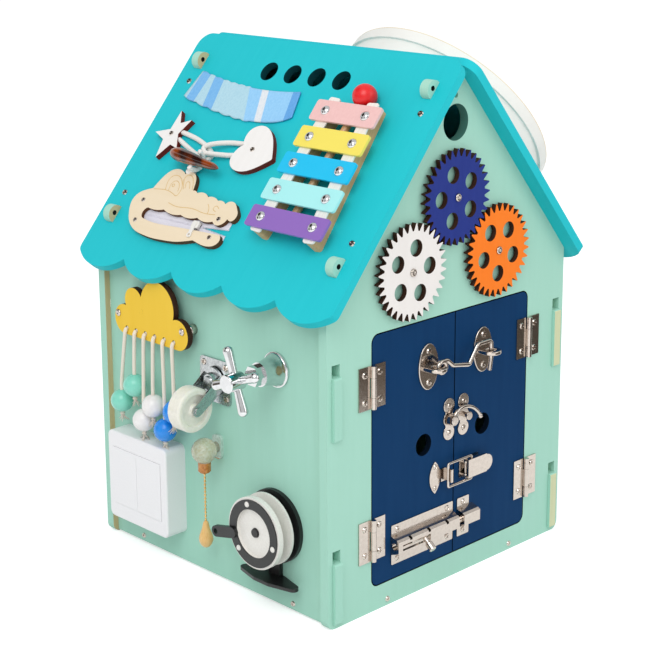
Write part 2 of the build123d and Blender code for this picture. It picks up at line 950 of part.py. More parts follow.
def barrel(x_from, x_to, bore_r, plate_from, plate_to):
    """A plate with a pressed case on it that runs from one x to another."""
    crest = bolt_off + bore_r + bolt_wall
    section = Plane(origin=(x_from, front_y, bolt_z), x_dir=(0, 0, 1), z_dir=(1, 0, 0))
    with BuildPart() as case:
        with BuildSketch(lying(front, (plate_from + plate_to) / 2, bolt_z)):
            RectangleRounded(plate_to - plate_from, bolt_plate_h, bolt_plate_t)
        extrude(amount=bolt_plate_t)
        with BuildSketch(section):
            with BuildLine():
                Polyline(
                    (-case_foot_w / 2, 0),
                    (-case_shoulder_w / 2, 0.75 * crest),
                    (-case_top_w / 2, crest),
                    (case_top_w / 2, crest),
                    (case_shoulder_w / 2, 0.75 * crest),
                    (case_foot_w / 2, 0),
                    close=True,
                )
            make_face()
        extrude(amount=x_to - x_from)
        with BuildSketch(section):
            with Locations((0, bolt_off)):
                Circle(bore_r)
        extrude(amount=x_to - x_from, mode=Mode.SUBTRACT)
    return case.part


with BuildPart() as bolt_case:
    add(barrel(bolt_plate_left, bolt_plate_right, bolt_r + bolt_case_gap, bolt_plate_left, bolt_plate_right))
    with BuildSketch(Plane(origin=(window_left, front_y, bolt_z), x_dir=(0, 0, 1), z_dir=(1, 0, 0))):
        reach = bolt_r + bolt_wall + overrun
        with BuildLine():
            Polyline(
                (0, bolt_off),
                (0.3 * reach, bolt_off + reach),
                (-case_foot_w / 2, bolt_off + reach),
                (-case_foot_w / 2, bolt_off + 0.2 * reach),
                (-reach, bolt_off - 0.1 * reach),
                close=True,
            )
        make_face()
    extrude(amount=window_right - window_left, mode=Mode.SUBTRACT)
    with BuildSketch(lying(front, (bolt_plate_left + bolt_plate_right) / 2, bolt_z + case_top_w / 2)):
        with GridLocations(case_notch_pitch, 0, 3, 1):
            Rectangle(case_notch_w, case_notch_w)
    extrude(amount=bolt_off * 3, mode=Mode.SUBTRACT)
    with BuildSketch(lying(front, (bolt_plate_left + bolt_plate_right) / 2, bolt_z)):
        Rectangle(bolt_plate_right - bolt_plate_left, bolt_plate_h / 2)
    extrude(amount=bolt_plate_t)
bolt_case.part.label = "bolt_case"
export_step(bolt_case.part, "parts/bolt_case.step")

bolt_keeper = barrel(keeper_left, keeper_hood_right, bolt_r + keeper_gap, keeper_left, keeper_right)
bolt_keeper.label = "bolt_keeper"
export_step(bolt_keeper, "parts/bolt_keeper.step")

knob_dir = Vector(0, -cos(radians(knob_tilt)), -sin(radians(knob_tilt)))
knob_foot = Vector(knob_x, front_y - bolt_off, bolt_z)
with BuildPart() as door_bolt:
    with BuildSketch(Plane(origin=(bolt_left, front_y - bolt_off, bolt_z), z_dir=(1, 0, 0))):
        Circle(bolt_r)
    extrude(amount=bolt_right - bolt_left)
    chamfer(door_bolt.faces().sort_by(Axis.X)[-1].edges(), bolt_chamfer)
    with BuildSketch(Plane(origin=knob_foot, z_dir=knob_dir)):
        Circle(knob_r)
    extrude(amount=knob_len - knob_end_len)
    with BuildPart(mode=Mode.PRIVATE) as knob:
        with BuildSketch(Plane(origin=knob_foot + knob_dir * (knob_len - knob_end_len), z_dir=knob_dir)):
            Circle(knob_end_r)
        extrude(amount=knob_end_len)
        chamfer(knob.edges(), bolt_chamfer)
    add(knob.part)
door_bolt.part.label = "door_bolt"
export_step(door_bolt.part, "parts/door_bolt.step")

# Gears

gear_pitch = 360 / gear_teeth


def gear(x, z, tooth_phase, hole_phase):
    """A flat gear with pointed straight-sided teeth and a ring of round holes."""
    half_root = degrees(gear_root_w / 2 / gear_root_r)
    half_tip = degrees(gear_tip_w / 2 / gear_tip_r)
    corners = ((gear_root_r, -half_root), (gear_tip_r, -half_tip), (gear_tip_r, half_tip), (gear_root_r, half_root))
    points = []
    for tooth in range(gear_teeth):
        for radius, turn in corners:
            angle = radians(tooth_phase + tooth * gear_pitch + turn)
            points.append((radius * cos(angle), radius * sin(angle)))
    with BuildPart() as wheel:
        with BuildSketch(lying(front, x, z, gear_lift)):
            with BuildLine():
                Polyline(points, close=True)
            make_face()
            Circle(gear_pivot_r + running_gap, mode=Mode.SUBTRACT)
            with PolarLocations(gear_hole_circle_r, gear_hole_count, start_angle=hole_phase):
                Circle(gear_hole_r, mode=Mode.SUBTRACT)
        extrude(amount=gear_t)
    return wheel.part


gear_step = gear_spacing * sqrt(1 / 2)
gear_places = (
    ("blue_gear", blue_gear_x, blue_gear_z, 0.0, 35.0),
    ("white_gear", blue_gear_x - gear_step, blue_gear_z - gear_step, gear_pitch / 2, 7.5),
    ("orange_gear", blue_gear_x + gear_step, blue_gear_z - gear_step, gear_pitch / 2, -20.0),
)
for name, x, z, tooth_phase, hole_phase in gear_places:
    wheel_part = gear(x, z, tooth_phase, hole_phase)
    wheel_part.label = name
    export_step(wheel_part, f"parts/{name}.step")

# Cloud board with its holes and screws

puff_shares = ((-0.354, 0.134, 0.134), (-0.22, 0.32, 0.12), (0.105, 0.325, 0.225), (0.378, 0.134, 0.134))
cloud_holes = [cloud_hole_pitch * (i - 2.5) for i in range(len(bead_places))]
with BuildPart() as cloud_board:
    with BuildSketch(lying(left, -cloud_y, cloud_base_z, cloud_lift)):
        for across, up, radius in puff_shares:
            with Locations((across * cloud_w, up * cloud_w)):
                Circle(radius * cloud_w)
        base_from = puff_shares[0][0] * cloud_w
        base_to = puff_shares[-1][0] * cloud_w
        with Locations(((base_from + base_to) / 2, cloud_base_h / 2)):
            Rectangle(base_to - base_from, cloud_base_h)
        with Locations([(x, cloud_hole_z - cloud_base_z) for x in cloud_holes]):
            Circle(cloud_hole_r, mode=Mode.SUBTRACT)
        with Locations((0, cloud_screw_z - cloud_base_z)):
            with GridLocations(cloud_screw_span, 0, 2, 1):
                Circle(cloud_screw_r, mode=Mode.SUBTRACT)
    extrude(amount=cloud_t)
cloud_board.part.label = "cloud_board"
export_step(cloud_board.part, "parts/cloud_board.step")

# Fixed pins: the gears' pivots, the cloud's spacers and screws, and the knotted ends behind it

string_off = cloud_lift + cloud_t + string_r + string_clear
with BuildPart() as fixed_pins:
    for name, x, z, tooth_phase, hole_phase in gear_places:
        with BuildSketch(standing(front, x, z)):
            head_off = gear_lift + gear_t + gear_end_gap
            with BuildLine():
                Polyline(
                    (0, 0),
                    (gear_washer_r, 0),
                    (gear_washer_r, gear_lift - gear_end_gap),
                    (gear_pivot_r, gear_lift - gear_end_gap),
                    (gear_pivot_r, head_off),
                    (gear_head_r, head_off),
                    (gear_head_r, head_off + gear_head_h / 2),
                    (gear_pivot_r, head_off + gear_head_h),
                    (0, head_off + gear_head_h),
                    close=True,
                )
            make_face()
        revolve(axis=normal_axis(front, x, z))
    for side in (-1, 1):
        screw_u = -cloud_y + side * cloud_screw_span / 2
        with BuildSketch(lying(left, screw_u, cloud_screw_z)):
            Circle(spacer_r)
        extrude(amount=cloud_lift)
        with BuildSketch(lying(left, screw_u, cloud_screw_z, cloud_lift)):
            Circle(cloud_screw_r)
        extrude(amount=cloud_t)
        with BuildSketch(lying(left, screw_u, cloud_screw_z, cloud_lift + cloud_t)):
            Circle(cloud_head_r)
        extrude(amount=cloud_head_h, taper=30)
    for x in cloud_holes:
        with Locations(spot(left, x - cloud_y, cloud_hole_z, cloud_lift - knot_r - bead_seat)):
            Sphere(knot_r)
        with BuildSketch(lying(left, x - cloud_y, cloud_hole_z, cloud_lift - knot_r)):
            Circle(string_r)
        extrude(amount=knot_r + cloud_t)
fixed_pins.part.label = "fixed_pins"
export_step(fixed_pins.part, "parts/fixed_pins.step")

# Bead strings, each hung from a hole and swinging about the top of its cord

bead_low = sqrt(bead_r**2 - bead_bore_r**2)
knot_drop = bead_low + sqrt(knot_r**2 - bead_bore_r**2) + bead_seat
for i, (bead_y, bead_z) in enumerate(bead_places):
    with BuildPart() as bead_string:
        with BuildSketch(lying(left, -bead_y, bead_z, string_off)):
            Circle(bead_r)
            with Locations((-bead_r, 0)):
                Rectangle(2 * bead_r, 2 * bead_r, mode=Mode.SUBTRACT)
            Rectangle(2 * bead_bore_r, 2 * bead_r, mode=Mode.SUBTRACT)
        revolve(axis=Axis(spot(left, -bead_y, bead_z, string_off), (0, 0, 1)))
    with BuildPart() as cord:
        hang = Vector(spot(left, cloud_holes[i] - cloud_y, cloud_hole_z, string_off))
        above = Vector(spot(left, -bead_y, bead_z + bead_r + string_lead, string_off))
        knot = Vector(spot(left, -bead_y, bead_z - knot_drop, string_off))
        for point in (hang, above):
            with BuildSketch(Plane(origin=point, z_dir=(0, 0, -1))):
                Circle(string_r)
        loft()
        with BuildSketch(Plane(origin=above, z_dir=(0, 0, -1))):
            Circle(string_r)
        extrude(amount=(above - knot).length)
        with Locations(knot):
            Sphere(knot_r)
    whole = Compound([*bead_string.part.solids(), *cord.part.solids()])
    whole.label = f"bead_string_{i + 1}"
    export_step(whole, f"parts/bead_string_{i + 1}.step")

# Wall switch: a box with two rocker keys

with BuildPart() as switch_box:
    with BuildSketch(lying(left, -switch_y, switch_z)):
        RectangleRounded(switch_w, switch_w, switch_corner_r)
    extrude(amount=switch_d)
    fillet(switch_box.faces().sort_by(Axis.X)[0].edges(), switch_edge_r)
    with BuildSketch(lying(left, -switch_y, switch_z, switch_d - key_pocket_d)):
        Rectangle(key_field_w, key_field_h)
    extrude(amount=key_pocket_d, mode=Mode.SUBTRACT)
switch_box.part.label = "switch_box"
export_step(switch_box.part, "parts/switch_box.step")

key_w = key_field_w / 2 - 1.5 * key_gap
key_axis_off = switch_d + key_proud - key_t / 2
for side, name in ((-1, "left_key"), (1, "right_key")):
    key_u = -switch_y + side * (key_w + key_gap) / 2
    with BuildPart() as key:
        with BuildSketch(lying(left, key_u, switch_z, switch_d + key_proud - key_t)):
            Rectangle(key_w, key_field_h - 2 * key_gap)
        extrude(amount=key_t)
        fillet(key.faces().sort_by(Axis.X)[0].edges(), key_edge_r)
    key.part.label = name
    export_step(key.part, f"parts/{name}.step")

# Tap

with BuildPart() as tap_body:
    with BuildSketch(standing(left, -tap_y, tap_z)):
        with BuildLine():
            Polyline((tap_neck_r, tap_bell_len), (0, tap_bell_len), (0, 0), (tap_rim_r, 0), (tap_rim_r, tap_rim_t))
            Spline(
                (tap_rim_r, tap_rim_t),
                (tap_bell_r, tap_flare),
                (tap_neck_r, tap_bell_len),
                tangents=((-1, 0), (0, 1)),
            )
        make_face()
    revolve(axis=normal_axis(left, -tap_y, tap_z))
    with BuildSketch(lying(left, -tap_y, tap_z, tap_bell_len)):
        RegularPolygon(tap_nut_r, 6)
    extrude(amount=tap_nut_len)
    with BuildSketch(lying(left, -tap_y, tap_z, tap_bell_len)):
        Circle(tap_stem_r)
    extrude(amount=tap_stem_end - tap_bell_len)
tap_body.part.label = "tap_body"
export_step(tap_body.part, "parts/tap_body.step")

with BuildPart() as tap_handle:
    with BuildSketch(standing(left, -tap_y, tap_z)):
        with BuildLine():
            Polyline(
                (0, tap_stem_end + tap_end_gap),
                (tap_stem_r + running_gap, tap_stem_end + tap_end_gap),
                (tap_stem_r + running_gap, tap_hub_back),
                (tap_hub_r, tap_hub_back),
                (tap_hub_r, tap_hub_front),
                (tap_cap_r, tap_hub_front),
                (tap_cap_r, tap_hub_front + tap_cap_t - tap_cap_edge),
                (tap_cap_r - tap_cap_edge, tap_hub_front + tap_cap_t),
                (0, tap_hub_front + tap_cap_t),
                close=True,
            )
        make_face()
    revolve(axis=normal_axis(left, -tap_y, tap_z))
    for k in range(4):
        turn = radians(tap_turn + 90 * k)
        arm_dir = left.x_dir * cos(turn) + left.y_dir * sin(turn)
        arm_foot = spot(left, -tap_y, tap_z, tap_arm_off) + arm_dir * (tap_stem_r + tap_hub_r) / 2
        arm_len = tap_arm_reach - tap_arm_tip_r - (tap_stem_r + tap_hub_r) / 2
        with BuildSketch(Plane(origin=arm_foot, z_dir=arm_dir)):
            Circle(tap_arm_root_r)
        with BuildSketch(Plane(origin=arm_foot + arm_dir * arm_len, z_dir=arm_dir)):
            Circle(tap_arm_tip_r)
        loft()
        with Locations(arm_foot + arm_dir * arm_len):
            Sphere(tap_arm_tip_r)
tap_handle.part.label = "tap_handle"
export_step(tap_handle.part, "parts/tap_handle.step")

# Swivel caster

with BuildPart() as caster_plate:
    with BuildSketch(lying(left, -caster_y, caster_z)):
        RectangleRounded(caster_plate_w, caster_plate_w, caster_corner_r)
        with GridLocations(caster_hole_pitch, caster_hole_pitch, 2, 2):
            Circle(caster_hole_r, mode=Mode.SUBTRACT)
    extrude(amount=caster_plate_t)
    with BuildSketch(lying(left, -caster_y, caster_z)):
        Circle(kingpin_r)
    extrude(amount=crown_back + crown_t + race_t + rivet_gap)
    with BuildSketch(lying(left, -caster_y, caster_z, crown_back + crown_t + race_t + rivet_gap)):
        Circle(kingpin_head_r)
    extrude(amount=kingpin_head_h, taper=30)
caster_plate.part.label = "caster_plate"
export_step(caster_plate.part, "parts/caster_plate.step")

axle_z = caster_z - caster_trail
with BuildPart() as caster_fork:
    with BuildSketch(lying(left, -caster_y, caster_z, crown_back)):
        Circle(crown_r)
    extrude(amount=crown_t)
    with BuildSketch(lying(left, -caster_y, caster_z, crown_back + crown_t)):
        Circle(race_r)
    extrude(amount=race_t, taper=15)
    for side in (-1, 1):
        leg_mid = caster_y + side * (fork_in + fork_leg_t / 2)
        leg_plane = Plane(origin=(-wall_face_x, leg_mid, caster_z), x_dir=(0, 0, 1), z_dir=(0, 1, 0))
        with BuildSketch(leg_plane):
            with Locations((0, -crown_back - crown_t / 2)):
                Rectangle(2 * sqrt(crown_r**2 - (fork_in + fork_leg_t) ** 2), crown_t)
            with Locations((-caster_trail, -caster_axle_off)):
                Circle(leg_foot_r)
            make_hull()
        extrude(amount=fork_leg_t / 2, both=True)
    with BuildSketch(lying(left, -caster_y, caster_z, 0)):
        Circle(kingpin_r + running_gap)
    extrude(amount=caster_axle_off, mode=Mode.SUBTRACT)
    axle_half = fork_in + fork_leg_t + axle_head_t
    axle_x = -wall_face_x - caster_axle_off
    with BuildSketch(Plane(origin=(axle_x, caster_y - axle_half, axle_z), z_dir=(0, 1, 0))):
        Circle(axle_r)
    extrude(amount=2 * axle_half)
    for side in (-1, 1):
        head_y = caster_y + side * (fork_in + fork_leg_t)
        with BuildSketch(Plane(origin=(axle_x, head_y, axle_z), z_dir=(0, side, 0))):
            Circle(axle_head_r)
        extrude(amount=axle_head_t, taper=15)
caster_fork.part.label = "caster_fork"
export_step(caster_fork.part, "parts/caster_fork.step")

with BuildPart() as caster_wheel:
    with BuildSketch(Plane(origin=(axle_x, caster_y, axle_z), x_dir=(1, 0, 0), z_dir=(0, 0, 1))):
        with BuildLine():
            Polyline(
                (axle_r + running_gap, -wheel_w / 2),
                (wheel_hub_r, -wheel_w / 2),
                (wheel_hub_r + wheel_dish_d / 2, wheel_dish_d - wheel_w / 2),
                (wheel_dish_r, wheel_dish_d - wheel_w / 2),
                (wheel_dish_r + wheel_dish_d / 2, -wheel_w / 2),
                (wheel_r, -wheel_w / 2),
                (wheel_r, wheel_w / 2),
                (wheel_dish_r + wheel_dish_d / 2, wheel_w / 2),
                (wheel_dish_r, wheel_w / 2 - wheel_dish_d),
                (wheel_hub_r + wheel_dish_d / 2, wheel_w / 2 - wheel_dish_d),
                (wheel_hub_r, wheel_w / 2),
                (axle_r + running_gap, wheel_w / 2),
                close=True,
            )
        tread = make_face()
        fillet(tread.vertices().group_by(Axis.X)[-1], wheel_edge_r)
    revolve(axis=Axis((axle_x, caster_y, axle_z), (0, 1, 0)))
caster_wheel.part.label = "caster_wheel"
export_step(caster_wheel.part, "parts/caster_wheel.step")

# Lamp with a pull chain

cap_top_z = lamp_z - cap_drop
chain_top_z = cap_top_z - cap_len
with BuildPart() as lamp_body:
    with BuildSketch(lying(left, -lamp_y, lamp_z)):
        RectangleRounded(lamp_plate_w, lamp_plate_h, lamp_plate_w / 3)
    extrude(amount=lamp_plate_t)
    with BuildSketch(lying(left, -lamp_y, lamp_z, lamp_plate_t)):
        Circle(lamp_neck_r)
    extrude(amount=lamp_off - lamp_plate_t)
    with Locations(spot(left, -lamp_y, lamp_z, lamp_off)):
        Sphere(bulb_r)
    with BuildSketch(Plane(origin=spot(left, -lamp_y, lamp_z, lamp_off), z_dir=(0, 0, -1))):
        Circle(cap_r)
    extrude(amount=cap_drop + cap_len)
    chamfer(lamp_body.faces().sort_by(Axis.Z)[0].edges(), cap_r / 4)
lamp_body.part.label = "lamp_body"
export_step(lamp_body.part, "parts/lamp_body.step")

chain_z = chain_top_z - rest_gap
with BuildPart() as pull_chain:
    with BuildSketch(Plane(origin=spot(left, -lamp_y, chain_z, lamp_off), z_dir=(0, 0, -1))):
        Circle(chain_rod_r)
    extrude(amount=chain_len + rest_gap)
    for i in range(chain_beads):
        with Locations(spot(left, -lamp_y, chain_z - (i + 1 / 2) * chain_len / chain_beads, lamp_off)):
            Sphere(chain_bead_r)
    with BuildSketch(lying(left, -lamp_y, chain_z - chain_len, lamp_off)):
        with BuildLine():
            Polyline((0, -drop_len), (0, 0), (drop_top_r / 2, 0))
            Spline(
                (drop_top_r / 2, 0),
                (drop_top_r, -0.2 * drop_len),
                (drop_r, -0.75 * drop_len),
                (0, -drop_len),
                tangents=((1, -1), (-1, 0)),
            )
        make_face()
    revolve(axis=Axis(spot(left, -lamp_y, lamp_z, lamp_off), (0, 0, 1)))
pull_chain.part.label = "pull_chain"
export_step(pull_chain.part, "parts/pull_chain.step")

# Fishing reel

front_end = reel_front_off + reel_front_t
screw_off = front_end - reel_dish_d + reel_screw_gap
with BuildPart() as reel_frame:
    with BuildSketch(lying(left, -reel_y, reel_z)):
        Circle(reel_back_r)
        with Locations((0, -(reel_back_r + foot_drop) / 2)):
            Rectangle(post_w, foot_drop - reel_back_r + post_w)
    extrude(amount=reel_back_t)
    with BuildSketch(lying(left, -reel_y, reel_z, reel_back_t)):
        Circle(reel_boss_r)
    extrude(amount=reel_rear_off - reel_back_t - reel_screw_gap)
    with BuildSketch(lying(left, -reel_y, reel_z, reel_back_t)):
        Circle(reel_spindle_r)
    extrude(amount=screw_off - reel_back_t)
    with BuildSketch(lying(left, -reel_y, reel_z, screw_off)):
        Circle(reel_screw_r)
    extrude(amount=reel_screw_h, taper=20)
    with BuildSketch(standing(left, -reel_y, reel_z - foot_drop)):
        with Locations((0, foot_w / 2)):
            RectangleRounded(foot_waist, foot_w, foot_end_r)
        for side in (-1, 1):
            with Locations((side * (foot_len / 2 - foot_end_r), foot_w / 2)):
                Circle(foot_end_r)
        make_hull()
    extrude(amount=foot_t)
reel_frame.part.label = "reel_frame"
export_step(reel_frame.part, "parts/reel_frame.step")

with BuildPart() as reel_spool:
    with BuildSketch(standing(left, -reel_y, reel_z)):
        with BuildLine():
            Polyline(
                (reel_spindle_r + running_gap, reel_rear_off),
                (reel_flange_r, reel_rear_off),
                (reel_flange_r, reel_rear_off + reel_rear_t),
                (reel_drum_r, reel_rear_off + reel_rear_t),
                (reel_drum_r, reel_front_off),
                (reel_flange_r, reel_front_off),
                (reel_flange_r, front_end),
                (reel_ring_r, front_end),
                (reel_ring_r, front_end + reel_ring_t),
                (reel_dish_r, front_end + reel_ring_t),
                (reel_dish_r, front_end - reel_dish_d),
                (reel_spindle_r + running_gap, front_end - reel_dish_d),
                close=True,
            )
        make_face()
    revolve(axis=normal_axis(left, -reel_y, reel_z))
    with BuildSketch(lying(left, -reel_y, reel_z, front_end)):
        with Locations(Location((0, 0, 0), (0, 0, 180 + crank_drop))):
            with Locations(((reel_ring_r + reel_dish_r) / 2, 0), (crank_reach, 0)):
                Circle(crank_w / 2)
            with Locations(((crank_reach + (reel_ring_r + reel_dish_r) / 2) / 2, 0)):
                Rectangle(crank_reach - (reel_ring_r + reel_dish_r) / 2, crank_w)
            with Locations((crank_reach, 0)):
                Circle(crank_hole_r, mode=Mode.SUBTRACT)
    extrude(amount=reel_ring_t + crank_t)
reel_spool.part.label = "reel_spool"
export_step(reel_spool.part, "parts/reel_spool.step")

# Xylophone

rail_drop = (rail_top_drop + rail_bottom_drop) / 2
rail_run = rail_bottom_drop - rail_top_drop
rail_half = (rail_top_half + rail_bottom_half) / 2
rail_splay = degrees(asin((rail_bottom_half - rail_top_half) / rail_run))
rail_len = rail_run / cos(radians(rail_splay))
with BuildPart() as xylophone_rails:
    for side in (-1, 1):
        for width, low, height in ((rail_w, roof_t, rail_h), (felt_w, roof_t + rail_h, felt_t)):
            with BuildSketch(lying(left_slope, xylo_u + side * rail_half, -rail_drop, low)):
                with Locations(Location((0, 0, 0), (0, 0, side * rail_splay))):
                    RectangleRounded(width, rail_len, bar_corner_r)
            extrude(amount=height, mode=Mode.ADD)
xylophone_rails.part.label = "xylophone_rails"
export_step(xylophone_rails.part, "parts/xylophone_rails.step")

with BuildPart() as xylophone_bars:
    for i in range(bar_count):
        bar_len = bar_first_len + (bar_last_len - bar_first_len) * i / (bar_count - 1)
        bar_low = roof_t + rail_h + felt_t + felt_gap
        with BuildSketch(lying(left_slope, xylo_u, -bar_first_drop - i * bar_pitch, bar_low)):
            RectangleRounded(bar_len, bar_w, bar_corner_r)
        extrude(amount=bar_t)
xylophone_bars.part.label = "xylophone_bars"
export_step(xylophone_bars.part, "parts/xylophone_bars.step")

lean = radians(mallet_lean)
ball = spot(left_slope, mallet_u, -mallet_drop, roof_t + mallet_ball_r + rest_gap)
tail = spot(
    left_slope,
    mallet_u - mallet_len * sin(lean),
    -mallet_drop - mallet_len * cos(lean),
    roof_t + mallet_r + rest_gap,
)
with BuildPart() as mallet:
    with Locations(ball):
        Sphere(mallet_ball_r)
    with BuildSketch(Plane(origin=ball, z_dir=tail - ball)):
        Circle(mallet_r)
    extrude(amount=(tail - ball).length)
mallet.part.label = "mallet"
export_step(mallet.part, "parts/mallet.step")

# Cord loops between the star and the heart, with a tie round the toggle

loop_w = roof_t + loop_r + bead_seat


def cord_loop(route, radius):
    """A cord that follows a route over the left roof."""
    with BuildPart() as tube:
        with BuildLine() as run:
            Spline([spot(left_slope, u, v, loop_w + lift) for u, v, lift in route])
        with BuildSketch(Plane(origin=run.line @ 0, z_dir=run.line % 0)):
            Circle(radius)
        sweep(path=run.line)
    return tube.part


horn_axis_off = roof_t + horn_off
horn_dir = left_slope.x_dir * cos(radians(horn_turn)) + left_slope.y_dir * sin(radians(horn_turn))
horn_mid = spot(left_slope, horn_u, -horn_drop, horn_axis_off)
tie_r = horn_mid_share * horn_r + horn_tie_gap + loop_r
with BuildPart() as button_loops:
    add(cord_loop(star_loop_route, loop_r))
    add(cord_loop(heart_loop_route, loop_r))
    with Locations(Plane(origin=horn_mid, z_dir=horn_dir).location):
        Torus(tie_r, loop_r)
button_loops.part.label = "button_loops"
export_step(button_loops.part, "parts/button_loops.step")

# Star and heart boards, grooved underneath for the loops

star_tip_shares = ((-0.976, -0.049), (-0.196, 1.033), (0.653, 0.698), (0.686, -0.576), (-0.171, -1.102))
star_notch_shares = ((-0.229, 0.176), (0.135, 0.494), (0.339, 0.024), (0.233, -0.473), (-0.322, -0.302))
with BuildPart() as star_board:
    with BuildSketch(lying(left_slope, star_u, -star_drop, roof_t)) as star:
        with BuildLine():
            corners = [p for pair in zip(star_tip_shares, star_notch_shares) for p in pair]
            Polyline([(x * star_r, y * star_r) for x, y in corners], close=True)
        make_face()
    extrude(amount=charm_t)
    add(cord_loop(star_loop_route, loop_r + loop_groove_gap), mode=Mode.SUBTRACT)
star_board.part.label = "star_board"
export_step(star_board.part, "parts/star_board.step")

heart_upper_shares = (
    (-0.28, 0.057),
    (-0.339, 0.2),
    (-0.318, 0.36),
    (-0.17, 0.485),
    (0.08, 0.485),
    (0.29, 0.355),
    (0.46, 0.14),
    (0.585, -0.085),
)
heart_lower_shares = (
    (0.585, -0.15),
    (0.42, -0.28),
    (0.11, -0.453),
    (-0.1, -0.48),
    (-0.3, -0.42),
    (-0.415, -0.28),
    (-0.4, -0.09),
    (-0.28, 0.057),
)
with BuildPart() as heart_board:
    with BuildSketch(lying(left_slope, heart_u, -heart_drop, roof_t)) as heart:
        with BuildLine():
            upper = [(x * heart_size, y * heart_size) for x, y in heart_upper_shares]
            lower = [(x * heart_size, y * heart_size) for x, y in heart_lower_shares]
            Spline(upper)
            ThreePointArc(upper[-1], (0.598 * heart_size, -0.118 * heart_size), lower[0])
            Spline(lower)
        make_face()
    extrude(amount=charm_t)
    add(cord_loop(heart_loop_route, loop_r + loop_groove_gap), mode=Mode.SUBTRACT)
heart_board.part.label = "heart_board"
export_step(heart_board.part, "parts/heart_board.step")

with BuildPart() as horn_toggle:
    horn_foot = horn_mid - horn_dir * (horn_len / 2)
    with BuildSketch(Plane(origin=horn_foot, x_dir=left_slope.z_dir, z_dir=left_slope.z_dir.cross(horn_dir))):
        with BuildLine():
            outline = (*horn_blunt_shares, (horn_mid_share, 1 / 2), *horn_tip_shares)
            flank = Spline([(r * horn_r, along * horn_len) for r, along in outline])
            Polyline(flank @ 0, (0, 0), flank @ 1)
        make_face()
    revolve(axis=Axis(horn_mid, horn_dir))
horn_toggle.part.label = "horn_toggle"
export_step(horn_toggle.part, "parts/horn_toggle.step")

# Crocodile board with a zip behind its mouth

head_shares = (
    (-0.404, -0.122),
    (-0.434, -0.07),
    (-0.446, -0.015),
    (-0.429, 0.031),
    (-0.384, 0.067),
    (-0.312, 0.097),
)
brow_shares = (
    (-0.312, 0.097),
    (-0.273, 0.197),
    (-0.234, 0.246),
    (-0.185, 0.268),
    (-0.131, 0.265),
    (-0.083, 0.242),
)
far_brow_shares = (
    (-0.083, 0.242),
    (-0.052, 0.265),
    (-0.004, 0.262),
    (0.032, 0.236),
    (0.054, 0.198),
    (0.07, 0.139),
)
bump_shares = (
    ((0.07, 0.139), (0.099, 0.14), (0.122, 0.127)),
    ((0.122, 0.127), (0.175, 0.14), (0.238, 0.117)),
    ((0.238, 0.117), (0.293, 0.124), (0.343, 0.106)),
    ((0.343, 0.106), (0.387, 0.11), (0.424, 0.094)),
)
nose_shares = (
    (0.424, 0.094),
    (0.457, 0.119),
    (0.502, 0.115),
    (0.548, 0.078),
    (0.577, 0.039),
    (0.572, 0.003),
    (0.512, -0.003),
)
lip_shares = (
    ((0.512, -0.003), (0.47, -0.056), (0.397, -0.042)),
    ((0.397, -0.042), (0.325, -0.056), (0.245, -0.04)),
    ((0.245, -0.04), (0.165, -0.057), (0.083, -0.046)),
    ((0.083, -0.046), (0, -0.056), (-0.099, -0.036)),
    ((-0.099, -0.036), (-0.17, -0.051), (-0.254, -0.046)),
)
mouth_end_shares = ((-0.254, -0.046), (-0.283, -0.09), (-0.236, -0.13))
gum_shares = ((-0.236, -0.13), (-0.174, -0.139), (0.063, -0.137), (0.282, -0.128), (0.523, -0.121))
chin_shares = (
    (0.523, -0.121),
    (0.541, -0.174),
    (0.518, -0.199),
    (0.48, -0.212),
    (0.416, -0.214),
    (0.312, -0.197),
)
jaw_shares = (
    (0.312, -0.197),
    (0.264, -0.212),
    (0.173, -0.234),
    (0.053, -0.245),
    (-0.055, -0.249),
    (-0.164, -0.242),
    (-0.251, -0.228),
    (-0.322, -0.199),
    (-0.375, -0.159),
    (-0.404, -0.122),
)


def croc_points(shares):
    """Points of the crocodile's outline, from shares of its length."""
    return [(x * croc_len, y * croc_len) for x, y in shares]


with BuildPart() as crocodile_board:
    with BuildSketch(lying(left_slope, croc_u, -croc_drop, roof_t)):
        with BuildLine():
            for shares in (head_shares, brow_shares, far_brow_shares, nose_shares):
                Spline(croc_points(shares))
            for shares in (gum_shares, chin_shares, jaw_shares):
                Spline(croc_points(shares))
            for shares in (*bump_shares, *lip_shares, mouth_end_shares):
                ThreePointArc(*croc_points(shares))
        make_face()
    extrude(amount=board_t)
    with BuildSketch(lying(left_slope, mouth_left + mouth_len / 2, -mouth_drop, roof_t)):
        Rectangle(mouth_len + 2 * tape_margin + 2 * rest_gap, mouth_h + 2 * tape_margin + 2 * rest_gap)
    extrude(amount=zip_rebate, mode=Mode.SUBTRACT)
crocodile_board.part.label = "crocodile_board"
export_step(crocodile_board.part, "parts/crocodile_board.step")

with BuildPart() as zip_tape:
    with BuildSketch(lying(left_slope, mouth_left + mouth_len / 2, -mouth_drop, roof_t)):
        Rectangle(mouth_len + 2 * tape_margin, mouth_h + 2 * tape_margin)
    extrude(amount=tape_t)
    with BuildSketch(lying(left_slope, mouth_left + mouth_len / 2, -mouth_drop, roof_t + tape_t)):
        Rectangle(mouth_len - 2 * tape_margin, chain_w)
    extrude(amount=chain_t)
zip_tape.part.label = "zip_tape"
export_step(zip_tape.part, "parts/zip_tape.step")

